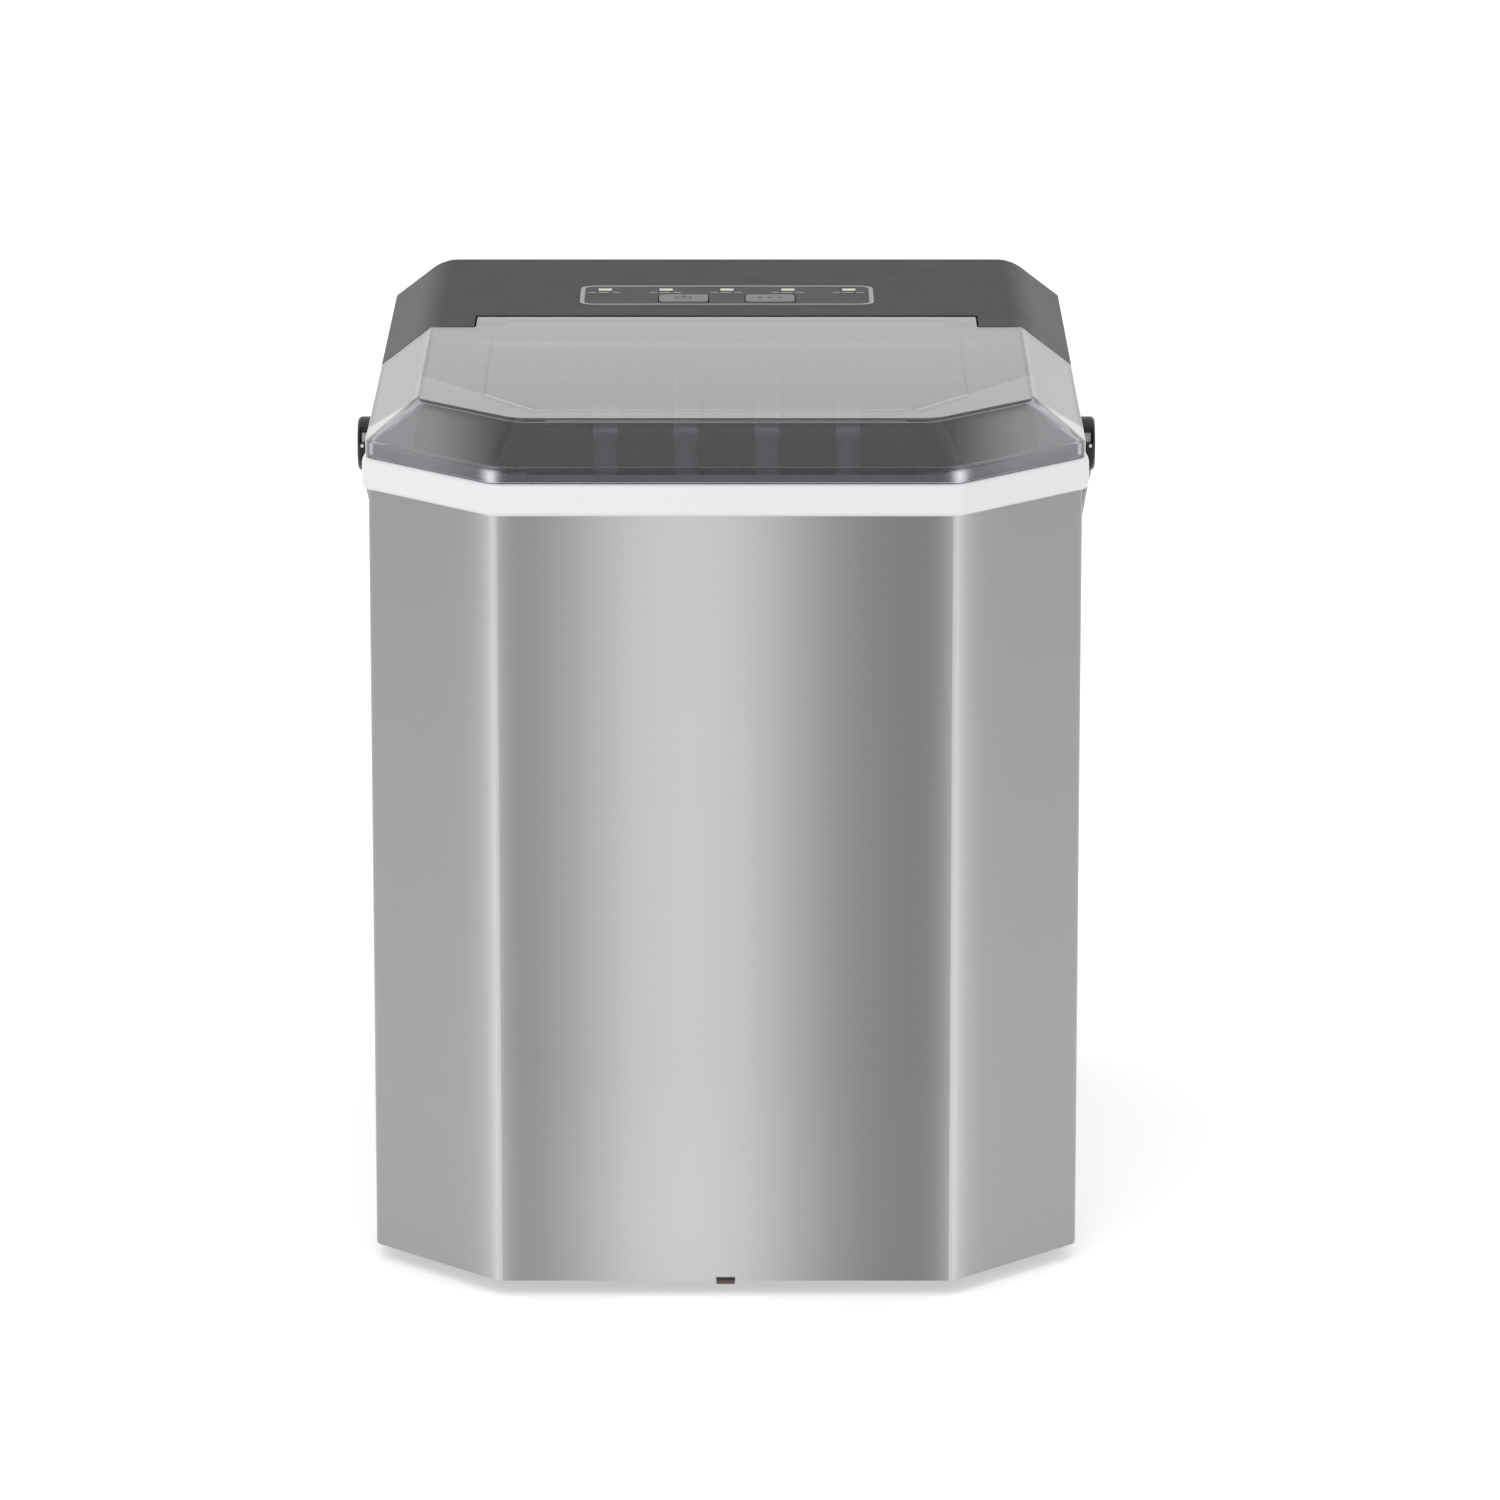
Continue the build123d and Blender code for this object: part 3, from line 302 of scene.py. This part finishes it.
def basket_milk():
    """Milky translucent plastic."""
    colour = (0.62, 0.63, 0.65)
    milk = Shader("basket_milk", ior=1.49)
    tone = milk.noise(18.0)
    milk.set(base_color=milk.mix(tone, shade(colour, 0.94), shade(colour, 1.05)))
    milk.set(roughness=0.16 + milk.noise(120.0) * 0.1)
    milk.set(alpha=0.72 + tone * 0.08)
    milk.bump(milk.noise(300.0), 0.01 * MM)
    return milk.material


def circuit_board():
    """Green lacquer over copper tracks."""
    board = Shader("circuit_board", coat_weight=0.6)
    tracks = board.node("ShaderNodeTexBrick", {"offset": 0.5}, {
        "Vector": board.place(), "Scale": 160.0, "Mortar Size": 0.03, "Color1": (0.03, 0.14, 0.06, 1),
        "Color2": (0.025, 0.12, 0.05, 1), "Mortar": (0.10, 0.28, 0.12, 1)})
    board.set(base_color=tracks)
    board.set(roughness=0.3 + board.noise(80.0) * 0.1)
    board.bump(board.noise(200.0), 0.05 * MM)
    return board.material


def open_foam():
    """Cast insulation foam with a pitted skin."""
    foam = Shader("open_foam", roughness=0.9)
    pits = foam.node("ShaderNodeTexVoronoi", sockets={"Vector": foam.place(), "Scale": 420.0})
    foam.set(base_color=foam.mix(pits, (0.50, 0.46, 0.33), (0.72, 0.68, 0.54)))
    foam.bump(pits, 0.5 * MM)
    return foam.material


def lit_lens():
    """Cream diffuser bar over an indicator lamp."""
    lens = Shader("lit_lens", emission_strength=0.03, emission_color=(1.0, 0.93, 0.80, 1))
    tone = lens.noise(400.0)
    lens.set(base_color=lens.mix(tone, (0.50, 0.48, 0.43), (0.58, 0.56, 0.50)))
    lens.set(roughness=0.35 + tone * 0.1)
    return lens.material


def nickel_frost_painted_light():
    """Plated ice head, frost white in line with its front row of fingers, partly frost and partly painted
    highlight, and near black between and behind them as painted shade.
    """
    pitch, half_finger, blur = 26.6 * MM, 0.165, 0.03      # the last two in pitches
    low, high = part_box("evaporator")
    nickel = Shader("nickel_frost_painted_light", metallic=0.3)
    frost = nickel.noise(260.0)
    x, y, _ = nickel.axes()
    from_row = ((x / pitch).maths("FRACT") - 0.5).size()
    painted_lit_row = ((half_finger - from_row) / blur).clamped()
    ahead = (((low.y + high.y) / 2 - y) / (2 * MM)).clamped()
    skin = nickel.mix(frost, (0.88, 0.89, 0.91), (1.0, 1.0, 1.0))
    # painted shade and painted highlight: near black between the rows and over the rear half, frost white in
    # line with the front fingers
    nickel.set(base_color=nickel.mix(painted_lit_row * ahead, (0.05, 0.05, 0.052), skin))
    nickel.set(roughness=0.3 + frost * 0.2)
    nickel.bump(frost, 0.03 * MM)
    return nickel.material


WHITE_GLOSS = moulded("white_gloss", (0.676, 0.686, 0.70), 0.22, depth=0.004, spread=0.012)
# painted shade: the tub's grey is darkened near black for the shade under the closed lid
TUB_GREY_PAINTED_SHADE = moulded("tub_grey_painted_shade", (0.030, 0.031, 0.033), 0.4, depth=0.006, spread=0.03)
# the rear cover's sloping sides carry painted light
COVER_GREY = moulded("cover_grey", (0.043, 0.043, 0.044), 0.5, 1500.0, 0.015, 0.06, painted_flank_light=2.4,
                     specular_ior_level=0.05)
FILM_GREY = moulded("film_grey", (0.037, 0.037, 0.038), 0.42, 2200.0, 0.006, 0.05, specular_ior_level=0.05)
KEY_GREY = moulded("key_grey", (0.165, 0.165, 0.165), 0.5, 1500.0, 0.012, 0.05, specular_ior_level=0.16)
# a pale raised line whose light grey is a painted highlight on the lid's window border
LINE_PAINTED_HIGHLIGHT = moulded("line_painted_highlight", (0.30, 0.30, 0.31), 0.25, 1500.0, 0.002, 0.03)
MARK_GREY = moulded("mark_grey", (0.30, 0.30, 0.30), 0.55, 1500.0, 0.004, 0.04, specular_ior_level=0.16)
DARK_MARK = moulded("dark_mark", (0.05, 0.05, 0.05), 0.55, 1500.0, 0.004, 0.04, specular_ior_level=0.16)
BASE_BLACK = moulded("base_black", (0.022, 0.022, 0.024), 0.55, 1100.0, 0.05)
SATIN_BLACK = moulded("satin_black", (0.012, 0.012, 0.012), 0.36, 1500.0, 0.02, specular_ior_level=0.3)
ARM_GREY = moulded("arm_grey", (0.165, 0.15, 0.15), 0.42, 1300.0, 0.02)
BRACKET_GREY = moulded("bracket_grey", (0.40, 0.405, 0.41), 0.4, 1300.0, 0.015, 0.05)
RUBBER = moulded("soft_rubber", (0.02, 0.02, 0.02), 0.75, 700.0, 0.06)
PLUG_BROWN = moulded("plug_brown", (0.085, 0.068, 0.062), 0.7, 700.0, 0.04)
TRAY_GREY = moulded("tray_grey", (0.032, 0.033, 0.035), 0.4, 1200.0, 0.01, 0.04)
HOSE_MILK = moulded("hose_milk", (0.60, 0.60, 0.57), 0.38, 400.0, 0.01, 0.05)
ENAMEL = moulded("black_enamel", (0.014, 0.014, 0.016), 0.22, 260.0, 0.03, coat_weight=0.5)
LABEL = moulded("label_silver", (0.52, 0.52, 0.53), 0.35, 1500.0, 0.002, 0.03)
REAR_SHEET = plated("rear_sheet", (0.30, 0.30, 0.31), 0.42, 0.1)
PLATED_STEEL = plated("plated_steel", (0.66, 0.66, 0.66), 0.2)
FINS = plated("fin_aluminium", (0.66, 0.67, 0.68), 0.3)
COPPER = plated("drawn_copper", (0.78, 0.40, 0.25), 0.24)
BRASS = plated("turned_brass", (0.70, 0.53, 0.26), 0.25)
PLAIN_BOARD = bpy.data.materials["circuit_board"]       # the frame's own plain green, not the finish above

FINISH = {
    "outer_shell": brushed_wrap_painted_sheen(), "rear_panel": REAR_SHEET, "base_plate": BASE_BLACK, "feet": RUBBER,
    "top_rim": WHITE_GLOSS, "inner_tub": TUB_GREY_PAINTED_SHADE, "insulation_foam": open_foam(), "rear_cover": COVER_GREY,
    "control_film": FILM_GREY, "indicator_lights": lit_lens(), "power_button": KEY_GREY,
    "select_button": KEY_GREY, "control_board": circuit_board(), "lid": smoke_clear(),
    "lid_hinge_pins": PLATED_STEEL, "handle_brackets": BRACKET_GREY, "handle_hubs": SATIN_BLACK,
    "pivot_screws": PLATED_STEEL, "handle_arms": ARM_GREY, "handle_grip": SATIN_BLACK,
    "ice_basket": basket_milk(), "evaporator": nickel_frost_painted_light(), "head_bridge": PLATED_STEEL,
    "water_tray": TRAY_GREY, "tray_shafts": PLATED_STEEL, "tray_bearing": TUB_GREY_PAINTED_SHADE, "tray_motor": BASE_BLACK,
    "ice_shovel": TRAY_GREY, "ice_sensors": SATIN_BLACK, "level_float": WHITE_GLOSS,
    "drain_fitting": WHITE_GLOSS, "drain_hose": HOSE_MILK, "drain_plug": PLUG_BROWN,
    "water_pump": BASE_BLACK, "pump_hose": HOSE_MILK, "compressor_mounts": RUBBER, "compressor": ENAMEL,
    "condenser": FINS, "fan_shroud": BASE_BLACK, "fan_blade": BASE_BLACK, "fan_motor": REAR_SHEET,
    "filter_dryer": COPPER, "discharge_pipe": COPPER, "suction_pipe": COPPER, "capillary_tube": COPPER,
    "hot_gas_valve": BRASS, "main_board": PLAIN_BOARD, "cord_gland": SATIN_BLACK,
    "panel_screws": PLATED_STEEL,
}


# ---------------------------------------------------------------- mesh tools
def select_only(piece):
    bpy.ops.object.select_all(action="DESELECT")
    piece.select_set(True)
    bpy.context.view_layer.objects.active = piece


def dress(piece, material):
    piece.data.materials.clear()
    piece.data.materials.append(material)


def settle(piece):
    """Put the piece's place into its mesh."""
    select_only(piece)
    bpy.ops.object.transform_apply(location=True, rotation=True, scale=True)


def modify(piece, kind, **settings):
    select_only(piece)
    modifier = piece.modifiers.new(kind.lower(), kind)
    for key, value in settings.items():
        setattr(modifier, key, value)
    bpy.ops.object.modifier_apply(modifier=modifier.name)


def smooth(piece, degrees=35):
    select_only(piece)
    bpy.ops.object.shade_smooth_by_angle(angle=math.radians(degrees))


def edit(piece, select_mode="FACE"):
    """Open the piece in edit mode with everything selected."""
    select_only(piece)
    bpy.ops.object.mode_set(mode="EDIT")
    bpy.ops.mesh.select_mode(type=select_mode)
    bpy.ops.mesh.select_all(action="SELECT")


def done():
    bpy.ops.object.mode_set(mode="OBJECT")


def raise_up(height):
    """Give the flat piece in edit mode a thickness, and close the edit."""
    bpy.ops.mesh.extrude_region_move(TRANSFORM_OT_translate={"value": (0, 0, height)})
    bpy.ops.mesh.select_all(action="SELECT")
    bpy.ops.mesh.normals_make_consistent(inside=False)
    done()


def softened(node, radius, segments=3, angle=24):
    """The node's own shape with its moulded edges rounded, standing for the plain node."""
    piece = bpy.data.objects.new(node + "_moulding", frame["nodes"][node].data.copy())
    bpy.context.scene.collection.objects.link(piece)
    edit(piece, "VERT")
    bpy.ops.mesh.remove_doubles(threshold=0.002 * MM)
    bpy.ops.mesh.customdata_custom_splitnormals_clear()
    bpy.ops.mesh.dissolve_limited(angle_limit=math.radians(0.6))
    done()
    modify(piece, "BEVEL", width=radius * MM, segments=segments, limit_method="ANGLE",
           angle_limit=math.radians(angle), harden_normals=False, use_clamp_overlap=True)
    smooth(piece, 30)
    modify(piece, "WEIGHTED_NORMAL", weight=100, keep_sharp=True)
    dress(piece, FINISH[node])
    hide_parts(node)
    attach(piece, BODY_OF[node])


def finish_piece(piece, material, body):
    """Smooth and dress an added piece, and tie it to its body."""
    settle(piece)
    smooth(piece)
    dress(piece, material)
    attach(piece, body)


def fresh_plane(name, place, width, depth):
    bpy.ops.object.select_all(action="DESELECT")
    bpy.ops.mesh.primitive_plane_add(size=1, location=place)
    piece = bpy.context.object
    piece.name = name
    piece.scale = (width, depth, 1)
    bpy.ops.object.transform_apply(location=False, rotation=False, scale=True)
    return piece


def plate(name, place, width, depth, height, corner, steps):
    """A thin printed or raised plate with rounded corners, lying flat at its place."""
    piece = fresh_plane(name, place, width, depth)
    edit(piece, "VERT")
    bpy.ops.mesh.bevel(offset=corner, segments=steps, affect="VERTICES")
    raise_up(height)
    return piece


def brick(name, place, size):
    bpy.ops.object.select_all(action="DESELECT")
    bpy.ops.mesh.primitive_cube_add(size=1, location=place)
    piece = bpy.context.object
    piece.name = name
    piece.scale = size
    settle(piece)
    return piece


def rounded(piece, radius, segments=3):
    """The piece with its sharp edges rounded."""
    modify(piece, "BEVEL", width=radius, segments=segments, limit_method="ANGLE",
           angle_limit=math.radians(40))
    return piece


def join(pieces, name):
    bpy.ops.object.select_all(action="DESELECT")
    for piece in pieces:
        piece.select_set(True)
    bpy.context.view_layer.objects.active = pieces[0]
    bpy.ops.object.transform_apply(location=True, rotation=True, scale=True)
    bpy.ops.object.join()
    pieces[0].name = name
    return pieces[0]


# ---------------------------------------------------------------- carried-over nodes
for node, thing in frame["nodes"].items():
    dress(thing, FINISH[node])

softened("lid", 0.7, 3, 12)
softened("top_rim", 0.5, 3, 40)
softened("rear_cover", 0.6, 3, 12)
softened("handle_arms", 0.35, 2)
softened("handle_hubs", 0.3, 2, 40)
softened("handle_brackets", 0.3, 2, 40)
softened("ice_basket", 0.3, 2, 40)
softened("inner_tub", 0.6, 2, 40)


# ---------------------------------------------------------------- control panel
PRINT = 0.05 * MM               # the height of a printed mark


def panel_outline():
    """The printed rounded outline round the panel."""
    low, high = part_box("control_film")
    piece = fresh_plane("panel_outline", (0, (low.y + high.y) / 2, TOP), high.x - low.x, high.y - low.y)
    edit(piece, "VERT")
    bpy.ops.mesh.bevel(offset=5.0 * MM, segments=8, affect="VERTICES")
    bpy.ops.mesh.select_mode(type="FACE")
    bpy.ops.mesh.select_all(action="SELECT")
    bpy.ops.mesh.inset(thickness=1.5 * MM)
    bpy.ops.mesh.delete(type="FACE")
    bpy.ops.mesh.select_all(action="SELECT")
    raise_up(PRINT)
    finish_piece(piece, MARK_GREY, "cabinet")


def caption_marks():
    """Plain dashes where each light has its caption."""
    low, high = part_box("indicator_lights")
    lights, light_width = 5, 4.4 * MM
    pitch = (high.x - low.x - light_width) / (lights - 1)
    y = low.y - 3.4 * MM
    dashes = []
    for index in range(lights):
        middle = low.x + light_width / 2 + index * pitch
        for offset, width in ((-4.2, 2.6), (-0.4, 3.6), (3.8, 2.8)):
            place = (middle + offset * MM, y, TOP)
            dashes.append(plate("dash", place, width * MM, 1.1 * MM, PRINT, 0.4 * MM, 2))
    finish_piece(join(dashes, "caption_marks"), MARK_GREY, "cabinet")


def key_marks():
    """A ring-and-bar sign on the power key and three dots on the select key."""
    sunk, height = 0.01 * MM, 0.07 * MM

    low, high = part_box("power_button")
    x, y, z = (low.x + high.x) / 2, (low.y + high.y) / 2, high.z
    bpy.ops.object.select_all(action="DESELECT")
    bpy.ops.mesh.primitive_torus_add(location=(x, y, z), major_radius=2.6 * MM, minor_radius=0.35 * MM,
                                     major_segments=36, minor_segments=8)
    ring = bpy.context.object
    ring.scale = (1, 1, 0.12)
    bar = plate("bar", (x, y + 2.0 * MM, z - sunk), 0.8 * MM, 2.8 * MM, height, 0.3 * MM, 3)
    finish_piece(join([ring, bar], "power_button_sign"), DARK_MARK, "power_key")

    low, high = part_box("select_button")
    x, y, z = (low.x + high.x) / 2, (low.y + high.y) / 2, high.z
    dots = [plate("dot", (x + step * 3.4 * MM, y, z - sunk), 1.6 * MM, 1.6 * MM, height, 0.79 * MM, 5)
            for step in (-1, 0, 1)]
    finish_piece(join(dots, "select_button_sign"), DARK_MARK, "select_key")


panel_outline()
caption_marks()
key_marks()


# ---------------------------------------------------------------- window line and hub screws
def ribbon(name, points, width, height):
    """A flat raised line of constant width through points that share one height."""
    data = bpy.data.curves.new(name, "CURVE")
    data.dimensions = "3D"
    run = data.splines.new("POLY")
    run.points.add(len(points) - 1)
    for target, place in zip(run.points, points):
        target.co = (*place, 1)
        target.tilt = math.radians(90)
    data.extrude = width / 2
    data.bevel_depth = height
    data.bevel_resolution = 2
    data.twist_mode = "Z_UP"
    piece = bpy.data.objects.new(name, data)
    bpy.context.scene.collection.objects.link(piece)
    select_only(piece)
    bpy.ops.object.convert(target="MESH")
    return bpy.context.object


def window_line():
    """The fine raised line round the lid's window, pale grey as a painted highlight along the window's
    border.
    """
    front, rear = FRONT + WINDOW_FRONT, FRONT + WINDOW_FRONT + WINDOW_CORNER
    half_rear = WINDOW_FRONT_HALF + WINDOW_CORNER / WINDOW_SLANT
    points = [(-half_rear, rear, TOP), (-WINDOW_FRONT_HALF, front, TOP), (WINDOW_FRONT_HALF, front, TOP),
              (half_rear, rear, TOP)]
    finish_piece(ribbon("window_line", points, 1.5 * MM, 0.04 * MM), LINE_PAINTED_HIGHLIGHT, "lid")


def hub_screws():
    """A small screw let into the front of each hub, under its window."""
    low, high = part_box("handle_hubs")
    from_side, proud, above_middle = 1.7 * MM, 0.25 * MM, 0.9 * MM
    screws = []
    for side in (-1, 1):
        place = (side * (high.x - from_side), low.y + proud, (low.z + high.z) / 2 + above_middle)
        bpy.ops.object.select_all(action="DESELECT")
        bpy.ops.mesh.primitive_cylinder_add(vertices=24, radius=0.6 * MM, depth=0.7 * MM, location=place,
                                            rotation=(math.radians(90), 0, 0))
        screws.append(rounded(bpy.context.object, 0.2 * MM))
    finish_piece(join(screws, "hub_screws"), PLATED_STEEL, "handle")


window_line()
hub_screws()


# ---------------------------------------------------------------- back and inside
def screw_crosses():
    """A dark cross recess in the head of every panel screw."""
    low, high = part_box("panel_screws")
    inset = 3.2 * MM            # from the box of all the screws to a head's middle
    long_arm, short_arm, thick = 3.4 * MM, 0.7 * MM, 0.06 * MM
    arms = []
    for x in (-(high.x - inset), high.x - inset):
        for z in (low.z + inset, (low.z + high.z) / 2, high.z - inset):
            for width, height in ((long_arm, short_arm), (short_arm, long_arm)):
                arm = brick("arm", (x, high.y, z), (width, thick, height))
                arms.append(rounded(arm, 0.025 * MM, 2))
    finish_piece(join(arms, "screw_crosses"), BASE_BLACK, "cabinet")


def rear_label():
    """A blank rating label with ruled lines, stuck to the rear panel."""
    x, z = 62 * MM, 92 * MM
    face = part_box("rear_panel")[1].y
    card = rounded(brick("rear_label", (x, face + 0.06 * MM, z), (52 * MM, 0.12 * MM, 34 * MM)), 0.05 * MM, 1)
    finish_piece(card, LABEL, "cabinet")
    full = 44 * MM
    rules = []
    for step, short in enumerate((0, 6, 0, 14, 3, 22)):
        place = (x + short / 2 * MM, face + 0.13 * MM, z + (11 - 4.4 * step) * MM)
        rules.append(rounded(brick("rule", place, (full - short * MM, 0.04 * MM, 1.1 * MM)), 0.015 * MM, 2))
    finish_piece(join(rules, "label_rules"), DARK_MARK, "cabinet")


def fill_line():
    """The raised full and low marks on the reservoir's front wall."""
    y = FRONT + 14.3 * MM       # just behind the wall's face
    marks = [brick("mark", (0, y, 104 * MM), (60 * MM, 0.7 * MM, 1.0 * MM)),
             brick("mark", (0, y, 92 * MM), (34 * MM, 0.7 * MM, 0.8 * MM))]
    finish_piece(rounded(join(marks, "fill_line"), 0.25 * MM, 2), WHITE_GLOSS, "cabinet")


def compressor_seam():
    """The rippled weld bead round the compressor's can."""
    low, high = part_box("compressor_mounts")
    x, y, z = (low.x + high.x) / 2, (low.y + high.y) / 2, 78 * MM
    ripples, ripple_depth = 60, 0.25
    bpy.ops.object.select_all(action="DESELECT")
    bpy.ops.mesh.primitive_torus_add(location=(x, y, z), major_radius=46 * MM, minor_radius=1.0 * MM,
                                     major_segments=180, minor_segments=10)
    bead = bpy.context.object
    bead.name = "compressor_seam"
    settle(bead)
    for vertex in bead.data.vertices:
        turn = math.atan2(vertex.co.y - y, vertex.co.x - x)
        vertex.co.z = z + (vertex.co.z - z) * (1 + ripple_depth * math.cos(turn * ripples))
    finish_piece(bead, REAR_SHEET, "cabinet")


screw_crosses()
rear_label()
fill_line()
compressor_seam()


# ---------------------------------------------------------------- handle grip
def grip():
    """The bail's grip: a rounded bar with finger ribs and a neck near each end."""
    low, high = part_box("handle_grip")
    middle, length = (low + high) / 2, high.x - low.x
    rings, plain_end = 46, 5            # rings along the bar, and how many at each end carry no ribs
    rib_size, neck_size = 0.93, 0.88
    bpy.ops.object.select_all(action="DESELECT")
    bpy.ops.mesh.primitive_cylinder_add(vertices=64, radius=(high.z - low.z) / 2, depth=length,
                                        location=middle, rotation=(0, math.radians(90), 0))
    piece = bpy.context.object
    piece.name = "handle_grip_moulding"
    settle(piece)
    edit(piece)
    for step in range(1, rings):
        bpy.ops.mesh.select_all(action="SELECT")
        bpy.ops.mesh.bisect(plane_co=(low.x + length * step / rings, 0, 0), plane_no=(1, 0, 0))
    done()
    for vertex in piece.data.vertices:
        step = round((vertex.co.x - low.x) / length * rings)
        size = 1.0
        if plain_end < step < rings - plain_end and step % 2:
            size = rib_size
        elif step in (3, 4, rings - 3, rings - 4):
            size = neck_size
        vertex.co.y = middle.y + (vertex.co.y - middle.y) * size
        vertex.co.z = middle.z + (vertex.co.z - middle.z) * size
    modify(piece, "BEVEL", width=0.6 * MM, segments=2, limit_method="ANGLE", angle_limit=math.radians(12))
    smooth(piece, 40)
    dress(piece, SATIN_BLACK)
    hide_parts("handle_grip")
    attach(piece, "handle")


grip()


# ---------------------------------------------------------------- room
def room():
    """A plain pale floor, a white sky and soft lamps."""
    bpy.ops.object.select_all(action="DESELECT")
    bpy.ops.mesh.primitive_plane_add(size=14, location=(0, 0, 0))
    floor = bpy.context.object
    floor.name = "floor"
    paint = Shader("floor_paint", roughness=0.8, emission_color=(1, 1, 1, 1), emission_strength=0.5)
    paint.set(base_color=paint.mix(paint.noise(3.0), (0.60, 0.60, 0.60), (0.63, 0.63, 0.63)))
    dress(floor, paint.material)

    sky = bpy.data.worlds.new("sky")
    sky.use_nodes = True
    sky.node_tree.nodes["Background"].inputs["Color"].default_value = (1, 1, 1, 1)
    sky.node_tree.nodes["Background"].inputs["Strength"].default_value = 1.0
    bpy.context.scene.world = sky

    aim = Vector((0, 0, 0.15))
    lamps = (("key_lamp", (-0.5, -1.1, 1.5), 0.8, 5.0), ("top_lamp", (0.1, 0.2, 1.6), 1.0, 1.2))
    for name, place, size, power in lamps:
        data = bpy.data.lights.new(name, "AREA")
        data.size = size
        data.energy = power
        lamp = bpy.data.objects.new(name, data)
        lamp.location = place
        lamp.rotation_euler = (aim - Vector(place)).to_track_quat("-Z", "Y").to_euler()
        bpy.context.scene.collection.objects.link(lamp)
    bpy.context.scene.view_settings.view_transform = "Standard"


room()
